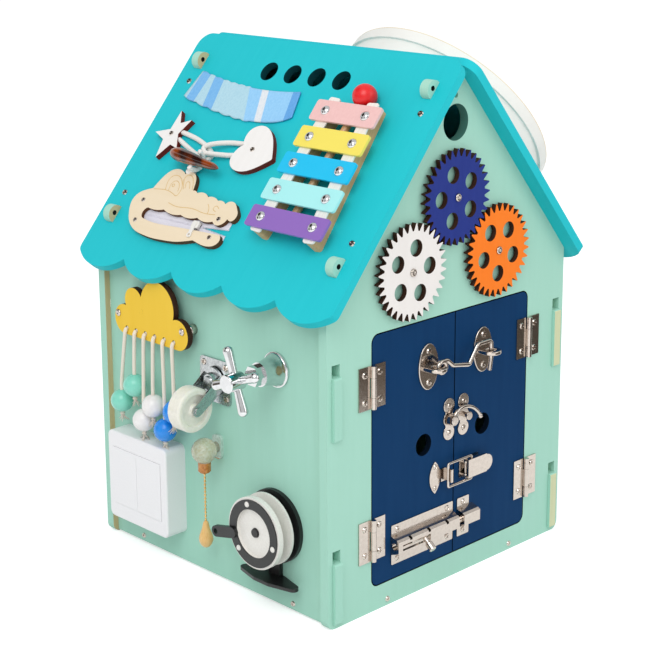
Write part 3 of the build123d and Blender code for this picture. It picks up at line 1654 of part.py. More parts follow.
slider_low = roof_t + tape_t + rest_gap
slider_top = roof_t + board_t + rest_gap
with BuildPart() as zip_slider:
    with BuildSketch(lying(left_slope, slider_u, -mouth_drop, slider_low)):
        RectangleRounded(slider_len, slider_w, slider_w / 4)
    extrude(amount=slider_top - slider_low)
    with BuildSketch(lying(left_slope, slider_u, -mouth_drop, slider_low)):
        Rectangle(2 * slider_len, chain_w + 2 * slider_gap)
    extrude(amount=chain_t + slider_gap - rest_gap + tape_t / 2, mode=Mode.SUBTRACT)
    with BuildSketch(lying(left_slope, slider_u, -mouth_drop, slider_top)):
        Circle(pull_w / 2)
        with Locations((0, -pull_len / 2)):
            Rectangle(pull_w, pull_len)
        with Locations((0, -pull_len)):
            Circle(pull_w * 0.65)
        with Locations((0, -pull_len)):
            Circle(pull_w * 0.3, mode=Mode.SUBTRACT)
    extrude(amount=pull_t)
zip_slider.part.label = "zip_slider"
export_step(zip_slider.part, "parts/zip_slider.step")

# Lace strap

strap_shares = ((-0.467, 0.144), (0.02, 0.075), (0.47, 0.091), (0.509, -0.085), (0.156, -0.151), (-0.513, -0.05))
strap_points = [(x * strap_len, y * strap_len) for x, y in strap_shares]
with BuildPart() as lace_strap:
    with BuildSketch(lying(left_slope, strap_u, -strap_drop, roof_t)):
        with BuildLine():
            ThreePointArc(strap_points[0], strap_points[1], strap_points[2])
            Line(strap_points[2], strap_points[3])
            ThreePointArc(strap_points[3], strap_points[4], strap_points[5])
            Line(strap_points[5], strap_points[0])
        make_face()
    extrude(amount=strap_t)
lace_strap.part.label = "lace_strap"
export_step(lace_strap.part, "parts/lace_strap.step")

# Hand drum on the far roof

with BuildPart() as hand_drum:
    with BuildSketch(lying(right_slope, drum_u, -drum_drop, roof_t)):
        Circle(drum_r - drum_hoop_t)
        Circle(drum_r - drum_hoop_t - drum_wall, mode=Mode.SUBTRACT)
    extrude(amount=drum_h - drum_skin_t)
    with BuildSketch(lying(right_slope, drum_u, -drum_drop, roof_t + drum_h - drum_skin_t)):
        Circle(drum_r - drum_hoop_t)
    extrude(amount=drum_skin_t)
    with BuildSketch(lying(right_slope, drum_u, -drum_drop, roof_t + drum_h - drum_hoop_h)):
        Circle(drum_r)
        Circle(drum_r - drum_hoop_t, mode=Mode.SUBTRACT)
    extrude(amount=drum_hoop_h)
hand_drum.part.label = "hand_drum"
export_step(hand_drum.part, "parts/hand_drum.step")
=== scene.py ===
import bpy
import bmesh
import math
import random
from mathutils import Matrix, Vector


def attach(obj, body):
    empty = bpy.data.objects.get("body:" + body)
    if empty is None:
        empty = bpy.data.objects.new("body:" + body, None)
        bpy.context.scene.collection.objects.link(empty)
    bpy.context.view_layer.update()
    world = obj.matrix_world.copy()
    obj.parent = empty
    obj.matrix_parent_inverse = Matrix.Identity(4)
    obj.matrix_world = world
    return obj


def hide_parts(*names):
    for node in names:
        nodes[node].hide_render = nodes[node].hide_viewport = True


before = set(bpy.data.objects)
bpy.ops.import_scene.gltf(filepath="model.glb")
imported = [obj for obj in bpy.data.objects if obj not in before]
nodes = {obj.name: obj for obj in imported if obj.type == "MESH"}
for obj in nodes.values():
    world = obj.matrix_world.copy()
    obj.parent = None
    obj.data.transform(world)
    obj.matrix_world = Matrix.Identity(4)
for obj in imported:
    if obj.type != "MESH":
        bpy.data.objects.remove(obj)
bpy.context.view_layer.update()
mm = 0.001
fullTurn = 2 * math.pi
print("frame loaded:", len(nodes), "nodes")

# the panels that pieces are laid out on: u across, v up, w outwards, all in mm
house = {"width": 312, "depth": 305, "eaves": 280, "slope": 50, "wallX": 150, "roofTop": 8}
slope = math.radians(house["slope"])
apex = house["eaves"] + house["width"] / 2 * math.tan(slope)


def facePlane(origin, across, outward):
    across, outward = Vector(across), Vector(outward)
    turned = Matrix((across, outward.cross(across), outward)).transposed().to_4x4()
    return Matrix.Translation(Vector(origin) * mm) @ turned @ Matrix.Scale(mm, 4)


planes = {"plain": Matrix.Scale(mm, 4)}
for sign, gable, wall, roof in ((-1, "front", "left", "leftRoof"), (1, "back", "right", "rightRoof")):
    planes[gable] = facePlane((0, sign * house["depth"] / 2, 0), (-sign, 0, 0), (0, sign, 0))
    planes[wall] = facePlane((sign * house["wallX"], 0, 0), (0, sign, 0), (sign, 0, 0))
    planes[roof] = facePlane((0, 0, apex), (0, sign, 0), (sign * math.sin(slope), 0, math.cos(slope)))


def onPlane(plane, *place):
    return planes[plane] @ Vector(place)


def outwardOf(plane):
    return tuple(planes[plane].to_3x3().col[2].normalized())


def turnOf(plane):
    return planes[plane].to_3x3().normalized().to_euler()


# materials

mix = {"factor": 0, "from": 6, "to": 7, "result": 2}  # of a Mix node that mixes colours


def hexColour(text):
    channels = [int(text[i:i + 2], 16) / 255 for i in (1, 3, 5)]
    return tuple(c / 12.92 if c <= 0.04045 else ((c + 0.055) / 1.055) ** 2.4 for c in channels) + (1.0,)


def adjust(node, settings):
    for key, value in settings.items():
        if isinstance(key, str) and hasattr(node, key):
            setattr(node, key, value)
        else:
            node.inputs[key].default_value = value


def addNode(tree, kind, settings={}, links={}):
    # a kind without a family name is a shader node
    node = tree.nodes.new(kind if "Node" in kind else "ShaderNode" + kind)
    adjust(node, settings)
    for key, socket in links.items():
        tree.links.new(socket, node.inputs[key])
    return node


def newMaterial(name):
    material = bpy.data.materials.new(name)
    material.use_nodes = True
    return material, material.node_tree, material.node_tree.nodes["Principled BSDF"]


def shades(tree, light, dark, level):
    # a paint's two shades, from dark to light as the grain's level goes from 0 to 1
    ends = {"data_type": "RGBA", mix["from"]: hexColour(dark), mix["to"]: hexColour(light)}
    mixed = addNode(tree, "Mix", ends, {mix["factor"]: level})
    return mixed.outputs[mix["result"]]


def surface(name, light, dark, grain, rough, bump, spread=0.25, metallic=0.0, turn=(0, 0, 0), detail=4.0,
            uv=None, shader={}):
    # one noise, grain mm long on each axis, shifts the colour, the gloss and the height together
    material, tree, skin = newMaterial(name)
    adjust(skin, {"Metallic": metallic, **shader})
    where = addNode(tree, "TexCoord")
    source = where.outputs["Object"]
    if uv:
        source = addNode(tree, "UVMap", {"uv_map": uv}).outputs["UV"]
    size = tuple(length * mm for length in grain)
    lay = {"vector_type": "TEXTURE", "Scale": size, "Rotation": turn}
    placed = addNode(tree, "Mapping", lay, {"Vector": source}).outputs["Vector"]
    pattern = {"Scale": 1.0, "Detail": detail, "Roughness": 0.6}
    noise = addNode(tree, "TexNoise", pattern, {"Vector": placed}).outputs["Fac"]
    window = {"From Min": 0.5 - spread, "From Max": 0.5 + spread}
    level = addNode(tree, "MapRange", window, {"Value": noise}).outputs["Result"]
    colour = shades(tree, light, dark, level)
    gloss = addNode(tree, "MapRange", {"To Min": rough[1], "To Max": rough[0]}, {"Value": level})
    height = addNode(tree, "Bump", {"Strength": 1.0, "Distance": bump * mm}, {"Height": noise})
    tree.links.new(colour, skin.inputs["Base Color"])
    tree.links.new(gloss.outputs["Result"], skin.inputs["Roughness"])
    tree.links.new(height.outputs["Normal"], skin.inputs["Normal"])
    return {"material": material, "tree": tree, "skin": skin, "where": where, "level": level,
            "colour": colour}


def finish(*given, **more):
    # a surface that nothing more is painted over
    return surface(*given, **more)["material"]


def paintOver(made, mask, light, dark):
    # a second colour wherever the mask is 1
    tree = made["tree"]
    second = shades(tree, light, dark, made["level"])
    layers = {mix["factor"]: mask, mix["from"]: made["colour"], mix["to"]: second}
    both = addNode(tree, "Mix", {"data_type": "RGBA"}, layers)
    made["colour"] = both.outputs[mix["result"]]
    tree.links.new(made["colour"], made["skin"].inputs["Base Color"])


def inBand(made, reading, direction, low, high):
    # 1 where the point's place or its normal, taken along a direction, is between low and high
    tree = made["tree"]
    along = {"operation": "DOT_PRODUCT", 1: direction}
    dot = addNode(tree, "VectorMath", along, {0: made["where"].outputs[reading]}).outputs["Value"]
    above = addNode(tree, "Math", {"operation": "GREATER_THAN", 1: low}, {0: dot}).outputs[0]
    below = addNode(tree, "Math", {"operation": "LESS_THAN", 1: high}, {0: dot}).outputs[0]
    return addNode(tree, "Math", {"operation": "MULTIPLY"}, {0: above, 1: below}).outputs[0]


def facing(made, plane, low, high):
    # by the cosine between the surface's own normal and a panel's outward direction
    return inBand(made, "Normal", outwardOf(plane), low, high)


def between(made, direction, low, high):
    # by the distance along the direction, in mm from the origin
    return inBand(made, "Object", direction, low * mm, high * mm)


# cosines to a panel's outward direction: above those of edges, below that of a face, above all
cosines = {"edge": 0.7, "face": 0.8, "beyond": 2}


wallMargin = 0.3


def holeWalls(made, plane, spots, radius):
    # 1 on the wall of each round hole: near its axis and facing across the panel
    tree, out, near = made["tree"], outwardOf(plane), []
    inside = {"operation": "LESS_THAN", 1: (radius + wallMargin) * mm}
    for spot in spots:
        centre = {"operation": "SUBTRACT", 1: onPlane(plane, *spot, 0)}
        away = addNode(tree, "VectorMath", centre, {0: made["where"].outputs["Object"]})
        square = {"operation": "CROSS_PRODUCT", 1: out}
        arm = addNode(tree, "VectorMath", square, {0: away.outputs[0]})
        length = addNode(tree, "VectorMath", {"operation": "LENGTH"}, {0: arm.outputs[0]})
        near.append(addNode(tree, "Math", inside, {0: length.outputs["Value"]}).outputs[0])
    some = near[0]
    for other in near[1:]:
        some = addNode(tree, "Math", {"operation": "MAXIMUM"}, {0: some, 1: other}).outputs[0]
    wall = facing(made, plane, -cosines["edge"], cosines["edge"])
    return addNode(tree, "Math", {"operation": "MULTIPLY"}, {0: some, 1: wall}).outputs[0]


def stripe(made, plane, left, right, lean=0.0):
    # 1 from left to right in u where v is 0, and lean further in u for each mm of v
    axes = planes[plane].to_3x3().normalized()
    direction = axes @ Vector((1, -lean, 0))
    start = planes[plane].translation.dot(direction) / mm
    return between(made, tuple(direction), start + left, start + right)


# acrylic paint rolled on birch plywood: matt, with the grain just telling through
def paintedPly(name, light, dark, plane, grain=(7, 90, 7), bareBack=False, burnt=None, gloss=0.2):
    made = surface(name, light, dark, grain, (0.5, 0.66), 0.03, spread=0.45, turn=turnOf(plane), detail=3.0,
                   shader={"Specular IOR Level": gloss})
    if burnt:  # laser-cut edges, scorched by the beam
        paintOver(made, facing(made, plane, -cosines["beyond"], cosines["face"]), *burnt)
    if bareBack:  # the inner face was never painted
        paintOver(made, facing(made, plane, -cosines["beyond"], -cosines["face"]), "#D8C49A", "#C2AC80")
    return made


scorched, redBrown, brownEdge = ("#4A281A", "#2A1710"), ("#7A2418", "#641810"), ("#6B4426", "#4A2C18")
mint, turquoise = ("#A6D7C6", "#A0D2C0"), ("#1EC3CD", "#1ABEC9")
roofHoles = {"us": (-50.95, -19.65, 11.65, 42.95), "drop": 34.3, "radius": 10}
peepHole = {"at": (0, 416.4), "radius": 16}
doorway = {"halfWidth": 103.5, "foot": 22.0, "head": 249.5, "slack": 0.4}
pegHoles = {"radius": 2.3, "out": 11.5, "drops": (32.6, 206.6)}

# painted shade: the walls of the roof's holes are painted a dark teal, for the shade inside them
roofPaint = paintedPly("turquoisePaintLeft", *turquoise, "leftRoof")
roofSpots = [(u, -roofHoles["drop"]) for u in roofHoles["us"]]
paintOver(roofPaint, holeWalls(roofPaint, "leftRoof", roofSpots, roofHoles["radius"]), "#0E4E54", "#0A3C42")

# painted shade: the doors' edges lie in their own narrow gap, and are painted near black for the shade there
doorPaint = paintedPly("navyPaint", "#0E3B67", "#0C355E", "front", gloss=0.06)
paintOver(doorPaint, facing(doorPaint, "front", -cosines["edge"], cosines["edge"]), "#0A1828", "#08131F")

# painted shade: the peg holes in both gables, and the walls of the front one's peep hole and doorway, are
# painted darker for the shade inside them
pegSpots = []
for side in ("leftRoof", "rightRoof"):
    pegSpots += [onPlane(side, 0, -drop, pegHoles["out"]) / mm for drop in pegHoles["drops"]]
gables = {}
for side, mirror in (("front", 1), ("back", -1)):
    made = paintedPly(f"mintPaint{side.capitalize()}", "#A8D8C7", "#A3D4C2", side, bareBack=True)
    spots = [(mirror * spot.x, spot.z) for spot in pegSpots]
    paintOver(made, holeWalls(made, side, spots, pegHoles["radius"]), "#1C2A27", "#141F1D")
    gables[side] = made
gablePaint = gables["front"]
# painted shade on the wall of the peep hole
peepShade = holeWalls(gablePaint, "front", [peepHole["at"]], peepHole["radius"])
paintOver(gablePaint, peepShade, "#5C8F82", "#4E8074")
# painted shade on the walls of the doorway
slack = doorway["slack"]
reach = doorway["halfWidth"] + slack
across = between(gablePaint, (1, 0, 0), -reach, reach)
upright = between(gablePaint, (0, 0, 1), doorway["foot"] - slack, doorway["head"] + slack)
doorwayShade = facing(gablePaint, "front", -cosines["edge"], cosines["edge"])
for mask in (across, upright):
    both = {0: mask, 1: doorwayShade}
    doorwayShade = addNode(gablePaint["tree"], "Math", {"operation": "MULTIPLY"}, both).outputs[0]
paintOver(gablePaint, doorwayShade, "#16302F", "#102523")

# the right wall's tenons show their bare end grain in the gables
tenonPaint = paintedPly("mintPaintRight", *mint, "right")
for end in ("front", "back"):
    paintOver(tenonPaint, facing(tenonPaint, end, cosines["face"], cosines["beyond"]), "#D6DBB6", "#C6CBA2")

boardWhite = paintedPly("whitePaintRoof", "#F0EEEC", "#E8E5E2", "leftRoof", burnt=redBrown)
boards = {
    "front_gable": gablePaint,
    "back_gable": gables["back"],
    "left_wall": paintedPly("mintPaintWall", *mint, "left"),
    "right_wall": tenonPaint,
    "left_roof": roofPaint,
    "right_roof": paintedPly("turquoisePaintRight", *turquoise, "rightRoof"),
    "left_door": doorPaint,
    "right_door": doorPaint,
    "cloud_board": paintedPly("yellowPaint", "#F0C843", "#EBC23B", "left", burnt=scorched),
    "blue_gear": paintedPly("indigoPaint", "#23368A", "#1F307E", "front", burnt=scorched),
    "orange_gear": paintedPly("orangePaint", "#FC8222", "#F67A1A", "front", burnt=scorched),
    "white_gear": paintedPly("whitePaint", "#EFEBE8", "#E8E3DF", "front", burnt=scorched),
    "star_board": boardWhite,
    "heart_board": boardWhite,
    "crocodile_board": paintedPly("bareBirchPly", "#EBDBC0", "#E5D3B4", "leftRoof", (90, 7, 7),
                                  burnt=brownEdge),
}
finishes = {name: made["material"] for name, made in boards.items()}
# unpainted plywood: matt, with a long yellowish grain
floorPly = finish("unpaintedPlyFloor", "#DDC79C", "#C9B084", (60, 3, 3), (0.6, 0.75), 0.06)

# the metals' marks are finer on the real pieces, and drawn at 2.5 to 6 mm so that they show
# bright nickel plate on pressed steel: near-mirror with tumbling marks
nickel = finish("brightNickelPlate", "#D0C6BD", "#C2B7AD", (3, 3, 3), (0.1, 0.2), 0.006, metallic=1.0)
# zinc plate on the caster: cooler and a little duller
zinc = finish("brightZincPlate", "#C9CCCD", "#A4A8AA", (2.5, 2.5, 2.5), (0.16, 0.34), 0.01, metallic=1.0)
# polished chrome on brass: a mirror
chrome = finish("polishedChrome", "#DEDFE0", "#CDCECF", (6, 6, 6), (0.05, 0.1), 0.003, metallic=1.0)
# moulded ABS: an even spark-eroded texture, drawn at 0.9 mm so that it shows, under a soft gloss
whitePlastic = finish("whiteAbs", "#F0F0F2", "#E9E9EC", (0.9, 0.9, 0.9), (0.3, 0.4), 0.006)
blackPlastic = finish("blackAbs", "#1B1B1C", "#111112", (0.9, 0.9, 0.9), (0.32, 0.45), 0.008)
# moulded nylon of the rivets and the zip's slider: off-white with a soft gloss
whiteNylon = finish("whiteNylon", "#EDEBE6", "#E2DFD9", (1.5, 1.5, 1.5), (0.3, 0.42), 0.006)
# milky nylon of the wheel: light goes a few mm into it
depthOfLight = {"Subsurface Weight": 0.35, "Subsurface Scale": 1.0,
                "Subsurface Radius": (0.004, 0.004, 0.003)}
wheelNylon = finish("milkyNylon", "#F0EEE4", "#E2E0D4", (3, 3, 3), (0.28, 0.4), 0.01, shader=depthOfLight)
# cast resin like horn: red-brown clouds under a polished skin
horn = finish("imitationHorn", "#93400F", "#2A0B05", (16, 16, 16), (0.08, 0.14), 0, spread=0.1, detail=0.5,
              shader={"Coat Weight": 0.7, "Coat Roughness": 0.05})
# dipped lacquer on turned wood: an even colour with a soft highlight
beadColours = {"mint": ("#8ADCC8", "#7ED2BE"), "white": ("#F2F0EF", "#E8E5E3"),
               "blue": ("#2190EE", "#1C84E0")}
beadPaints = {name: finish(f"{name}BeadLacquer", *colours, (4, 4, 4), (0.2, 0.3), 0.01)
              for name, colours in beadColours.items()}


# braided cotton: dull, with plaits 1.6 mm long wound round the cord by its own UV map
def cordCotton(name, light, dark):
    made = surface(name, light, dark, (0.5, 0.5, 0.5), (0.85, 0.95), 0.05, uv="cordMap",
                   shader={"Sheen Weight": 0.3})
    tree = made["tree"]
    uvMap = addNode(tree, "UVMap", {"uv_map": "cordMap"})
    waves = []
    for lean in (0.6, -0.6):
        lay = {"vector_type": "TEXTURE", "Scale": (1.6 * mm, 1.6 * mm, 1), "Rotation": (0, 0, lean)}
        placed = addNode(tree, "Mapping", lay, {"Vector": uvMap.outputs["UV"]})
        pattern = {"Scale": 0.32, "Distortion": 0.6, "Detail": 1.0}
        waves.append(addNode(tree, "TexWave", pattern, {"Vector": placed.outputs["Vector"]}))
    both = {0: waves[0].outputs["Fac"], 1: waves[1].outputs["Fac"]}
    plait = addNode(tree, "Math", {"operation": "MAXIMUM"}, both).outputs[0]
    height = addNode(tree, "Bump", {"Strength": 0.8, "Distance": 0.25 * mm}, {"Height": plait})
    tree.links.new(height.outputs["Normal"], made["skin"].inputs["Normal"])
    return made["material"]


cotton = cordCotton("creamCottonCord", "#F4ECE0", "#E3D8C8")
whiteCord = cordCotton("whiteCottonCord", "#F5F2EE", "#E2DED8")
print("materials made")

# makers of objects and meshes


def newObject(name, data):
    thing = bpy.data.objects.new(name, data)
    bpy.context.scene.collection.objects.link(thing)
    return thing


def evaluated(host):
    # the mesh that a helper's curve or modifiers give, without the helper
    mesh = bpy.data.meshes.new_from_object(host.evaluated_get(bpy.context.evaluated_depsgraph_get()))
    bpy.data.objects.remove(host)
    return mesh


def closedTurn(count):
    # the angles of a closed round, its first one again at its end
    return [fullTurn * k / count for k in range(count + 1)]


def meshFrom(shape, name):
    mesh = bpy.data.meshes.new(name)
    shape.to_mesh(mesh)
    shape.free()
    return mesh


def finished(name, mesh, body, material=None, smooth=True):
    piece = newObject(name, mesh)
    if material is not None:
        mesh.materials.clear()
        mesh.materials.append(material)
    if smooth:
        mesh.shade_smooth()
    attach(piece, body)
    return piece


def thicken(piece, thickness):
    # gives a flat sheet its thickness, below the face that was drawn
    modifier = piece.modifiers.new("thickness", "SOLIDIFY")
    modifier.thickness = thickness
    modifier.offset = -1


def lathe(profile, plane, place, segments=32):
    # profile: (radius, out) in mm, turned round the plane's outward axis at a place on it
    shape = bmesh.new()
    rings = []
    for radius, out in profile:
        if radius < 1e-6:
            rings.append([shape.verts.new((0, 0, out))])
        else:
            angles = closedTurn(segments)[:-1]
            rings.append([shape.verts.new((radius * math.cos(a), radius * math.sin(a), out)) for a in angles])
    for low, high in zip(rings, rings[1:]):
        for k in range(segments):
            ends = ((low, k), (low, k + 1), (high, k + 1), (high, k))
            corners = list(dict.fromkeys(ring[i % len(ring)] for ring, i in ends))
            if len(corners) > 2:
                shape.faces.new(corners)
    bmesh.ops.recalc_face_normals(shape, faces=shape.faces)
    shape.transform(planes[plane] @ Matrix.Translation(Vector(place)))
    return meshFrom(shape, "turned")


def routePoints(route, spacing=1.2):
    # a smooth line along the route, in metres, cut into equal steps
    curve = bpy.data.curves.new("route", "CURVE")
    curve.dimensions = "3D"
    curve.resolution_u = 12
    spline = curve.splines.new("NURBS")
    spline.points.add(len(route) - 1)
    for point, place in zip(spline.points, route):
        point.co = (*place, 1)
    spline.order_u = 3
    spline.use_endpoint_u = True
    line = [v.co.copy() for v in evaluated(newObject("route", curve)).vertices]
    length = sum((b - a).length for a, b in zip(line, line[1:]))
    count = max(8, round(length / (spacing * mm)))
    points, walked, step = [line[0]], 0.0, length / count
    for a, b in zip(line, line[1:]):
        gap = (b - a).length
        while walked + gap >= step * len(points) - 1e-9 and len(points) < count:
            points.append(a.lerp(b, (step * len(points) - walked) / gap))
        walked += gap
    points.append(line[-1])
    return points, length


def tube(points, radius, sides=14):
    # a round tube along the points, with its own UV map in metres: round it and along it
    mapRadius = 0.0018  # one radius for every cord, so that the plaits have one size
    shape = bmesh.new()
    uvLayer = shape.loops.layers.uv.new("cordMap")
    across = None
    rings, run, angles = [], [0.0], closedTurn(sides)[:-1]
    for i, point in enumerate(points):
        ahead = (points[min(i + 1, len(points) - 1)] - points[max(i - 1, 0)]).normalized()
        across = ahead.orthogonal() if across is None else across - ahead * across.dot(ahead)
        across.normalize()
        side = ahead.cross(across)
        r = radius(i / (len(points) - 1)) if callable(radius) else radius
        arms = [across * math.cos(a) + side * math.sin(a) for a in angles]
        rings.append([shape.verts.new(point + arm * r) for arm in arms])
        if i:
            run.append(run[-1] + (point - points[i - 1]).length)
    for i, (near, far) in enumerate(zip(rings, rings[1:])):
        for k in range(sides):
            after = (k + 1) % sides
            face = shape.faces.new([near[k], near[after], far[after], far[k]])
            turn = [k, k + 1, k + 1, k]
            along = [run[i], run[i], run[i + 1], run[i + 1]]
            for loop, t, s in zip(face.loops, turn, along):
                loop[uvLayer].uv = (t / sides * fullTurn * mapRadius, s)
    shape.faces.new(list(reversed(rings[0])))
    shape.faces.new(rings[-1])
    bmesh.ops.recalc_face_normals(shape, faces=shape.faces)
    return meshFrom(shape, "tube")


def spanned(shape, grid, flipped=False):
    # a face between each four neighbours of a grid of vertices
    for row, after in zip(grid, grid[1:]):
        for k in range(len(row) - 1):
            corners = [row[k], after[k], after[k + 1], row[k + 1]]
            shape.faces.new(corners[::-1] if flipped else corners)


def joined(meshes):
    shape = bmesh.new()
    for mesh in meshes:
        shape.from_mesh(mesh)
    return meshFrom(shape, "joined")


# screw heads and nails, set out by one geometry node tree

# shares of the head's radius, and of its height where they go up or down
shares = {"slotHalf": 0.13, "slotArm": 0.58, "shoulder": 0.8, "pit": 0.75, "crown": 1.08, "depth": 0.75}


def crossHead(name, radius, height, sides=16):
    # a pan head with a cross recess, a few dozen faces
    half, arm = radius * shares["slotHalf"], radius * shares["slotArm"]
    crown, depth = height * shares["crown"], height * shares["depth"]
    plus = [(half, half), (half, arm), (-half, arm)]
    for quarter in range(3):
        plus += [(-y, x) for x, y in plus[-3:]]
    circle = [(math.cos(a), math.sin(a)) for a in closedTurn(sides)[:-1]]
    inner, narrow = radius * shares["shoulder"], shares["pit"]
    shape = bmesh.new()
    rim = [shape.verts.new((radius * x, radius * y, 0)) for x, y in circle]
    shoulder = [shape.verts.new((inner * x, inner * y, height)) for x, y in circle]
    lip = [shape.verts.new((x, y, crown)) for x, y in plus]
    pit = [shape.verts.new((x * narrow, y * narrow, crown - depth)) for x, y in plus]
    for ring, other in ((rim, shoulder), (pit, lip)):
        for k in range(len(ring)):
            after = (k + 1) % len(ring)
            shape.faces.new([ring[k], ring[after], other[after], other[k]])
    edges = []
    for ring in (shoulder, lip):
        edges += [shape.edges.get((ring[k], ring[(k + 1) % len(ring)])) for k in range(len(ring))]
    bmesh.ops.triangle_fill(shape, use_beauty=True, edges=edges)
    shape.faces.new(pit)
    bmesh.ops.recalc_face_normals(shape, faces=shape.faces)
    return newObject(name, meshFrom(shape, name))


def roundHead(name, radius, height, foot=-0.2, angles=(0, 0.35, 0.75, 1.15)):
    # a domed head with a short straight foot
    dome = [(radius * math.cos(t), height * math.sin(t)) for t in angles]
    mesh = lathe([(0, foot), (radius, foot)] + dome + [(0, height)], "plain", (0, 0, 0), 14)
    mesh.transform(Matrix.Scale(1 / mm, 4))
    return newObject(name, mesh)


pointData = {"facing": "FLOAT_VECTOR", "size": "FLOAT"}


def placingTree():
    # puts a head on every point, square to its direction and turned by a seeded amount
    tree = bpy.data.node_groups.new("headPlacing", "GeometryNodeTree")
    inputs = (("Places", "Geometry"), ("Head", "Object"), ("Turn Spread", "Float"), ("Seed", "Int"),
              ("Finish", "Material"))
    for socket, kind in inputs:
        tree.interface.new_socket(socket, in_out="INPUT", socket_type="NodeSocket" + kind)
    tree.interface.new_socket("Heads", in_out="OUTPUT", socket_type="NodeSocketGeometry")
    given = addNode(tree, "NodeGroupInput").outputs
    head = addNode(tree, "GeometryNodeObjectInfo", {}, {"Object": given["Head"]})
    read = {}
    for name, kind in pointData.items():
        wanted = {"data_type": kind, "Name": name}
        read[name] = addNode(tree, "GeometryNodeInputNamedAttribute", wanted).outputs["Attribute"]
    upright = addNode(tree, "FunctionNodeAlignRotationToVector", {"axis": "Z"}, {"Vector": read["facing"]})
    spread = {"Max": given["Turn Spread"], "Seed": given["Seed"]}
    angle = addNode(tree, "FunctionNodeRandomValue", {"data_type": "FLOAT"}, spread)
    spin = addNode(tree, "FunctionNodeAxisAngleToRotation", {"Axis": (0, 0, 1)}, {"Angle": angle.outputs[1]})
    turns = {"Rotation": upright.outputs["Rotation"], "Rotate By": spin.outputs["Rotation"]}
    turned = addNode(tree, "FunctionNodeRotateRotation", {"rotation_space": "LOCAL"}, turns)
    lay = {"Points": given["Places"], "Instance": head.outputs["Geometry"],
           "Rotation": turned.outputs["Rotation"], "Scale": read["size"]}
    placed = addNode(tree, "GeometryNodeInstanceOnPoints", {}, lay)
    real = addNode(tree, "GeometryNodeRealizeInstances", {}, {"Geometry": placed.outputs["Instances"]})
    coat = {"Geometry": real.outputs["Geometry"], "Material": given["Finish"]}
    coated = addNode(tree, "GeometryNodeSetMaterial", {}, coat)
    addNode(tree, "NodeGroupOutput", {}, {"Heads": coated.outputs["Geometry"]})
    return tree


headPlacing = placingTree()


def placeHeads(name, body, head, material, places, turnSpread=1.5, seed=3):
    # places: (plane, u, v, out, size) in mm
    mesh = bpy.data.meshes.new(name)
    mesh.from_pydata([onPlane(plane, u, v, out) for plane, u, v, out, size in places], [], [])
    for attribute, kind in pointData.items():
        mesh.attributes.new(attribute, kind, "POINT")
    for i, (plane, u, v, out, size) in enumerate(places):
        mesh.attributes["facing"].data[i].vector = outwardOf(plane)
        mesh.attributes["size"].data[i].value = size * mm
    host = newObject(name + "Places", mesh)
    modifier = host.modifiers.new("heads", "NODES")
    modifier.node_group = headPlacing
    inputs = {"Head": head, "Turn Spread": turnSpread, "Seed": seed, "Finish": material}
    for socket in headPlacing.interface.items_tree:
        if socket.in_out == "INPUT" and socket.name in inputs:
            modifier[socket.identifier] = inputs[socket.name]
    made = evaluated(host)
    while len(made.materials) > 1:  # an empty slot comes first
        made.materials.pop(index=0)
    made.polygons.foreach_set("material_index", [0] * len(made.polygons))
    print(name, len(places))
    return finished(name, made, body, smooth=head.name.startswith("nail"))


# CAD nodes that keep their own shape

plain = (
    (nickel, ("frame_hinge_leaves", "left_door_hinge_leaves", "right_door_hinge_leaves", "hook_base",
              "hook_eye", "cabin_hook", "clasp_plate", "clasp_catch", "clasp_arm", "strike_plate",
              "latch_base", "latch_lever", "latch_bail", "bolt_case", "bolt_keeper", "door_bolt")),
    (chrome, ("tap_body", "tap_handle")),
    (zinc, ("caster_plate", "caster_fork")),
    (whitePlastic, ("switch_box", "left_key", "right_key")),
    (blackPlastic, ("reel_frame",)),
    (whiteNylon, ("zip_slider",)),
    (wheelNylon, ("caster_wheel",)),
    (horn, ("horn_toggle",)),
    (floorPly, ("floor_panel",)),
)
for material, names in plain:
    for name in names:
        finishes[name] = material

down = tuple(-c for c in planes["leftRoof"].to_3x3().col[1].normalized())
roofOut = outwardOf("leftRoof")
apexDown = Vector((0, 0, apex)).dot(Vector(down))
apexOut = Vector((0, 0, apex)).dot(Vector(roofOut))
beechColours, redColours = ("#E0B486", "#CC9A68"), ("#E81C20", "#D91318")

# five bars of enamelled steel with a soft gloss, told apart by how far down they lie
bars = {
    "first": 75, "pitch": 27.2, "colours": ("#F1C6C3", "#F3E163", "#14C0EE", "#A8ECEC", "#8F69BC"),
    "middle": 86.5, "railFrom": 60, "railRun": 137, "railReach": (22.6, 32.4),
    "nailOut": 25.2, "nailSize": 4.8,
}
madeBars = surface("enamelledSteelBars", bars["colours"][0], "#EABBB8", (30, 2, 2), (0.3, 0.4), 0.01)
for i, colour in enumerate(bars["colours"][1:], 1):
    low = apexDown + bars["first"] + (i - 0.5) * bars["pitch"]
    paintOver(madeBars, between(madeBars, down, low, low + bars["pitch"]), colour, colour)

# matt beech rails, with a strip of white felt on top
rails = {"feltFrom": 21.3, "feltTo": 40}
madeRails = surface("beechRails", *beechColours, (2, 30, 2), (0.45, 0.6), 0.04, turn=turnOf("leftRoof"))
felt = between(madeRails, roofOut, apexOut + rails["feltFrom"], apexOut + rails["feltTo"])
paintOver(madeRails, felt, "#F6F4EE", "#E4E1D8")

# the drum: white lacquer, with a cream skin that shows as a line round its top
drum = {"height": 42, "skin": 1.2, "above": 3}
madeDrum = surface("whiteDrumLacquer", "#F1EFEA", "#E9E6E0", (40, 40, 40), (0.35, 0.45), 0.01)
skinFrom = apexOut + house["roofTop"] + drum["height"] - drum["skin"]
drumSkin = between(madeDrum, outwardOf("rightRoof"), skinFrom, skinFrom + drum["above"])
paintOver(madeDrum, drumSkin, "#EDE3CF", "#E0D4BC")

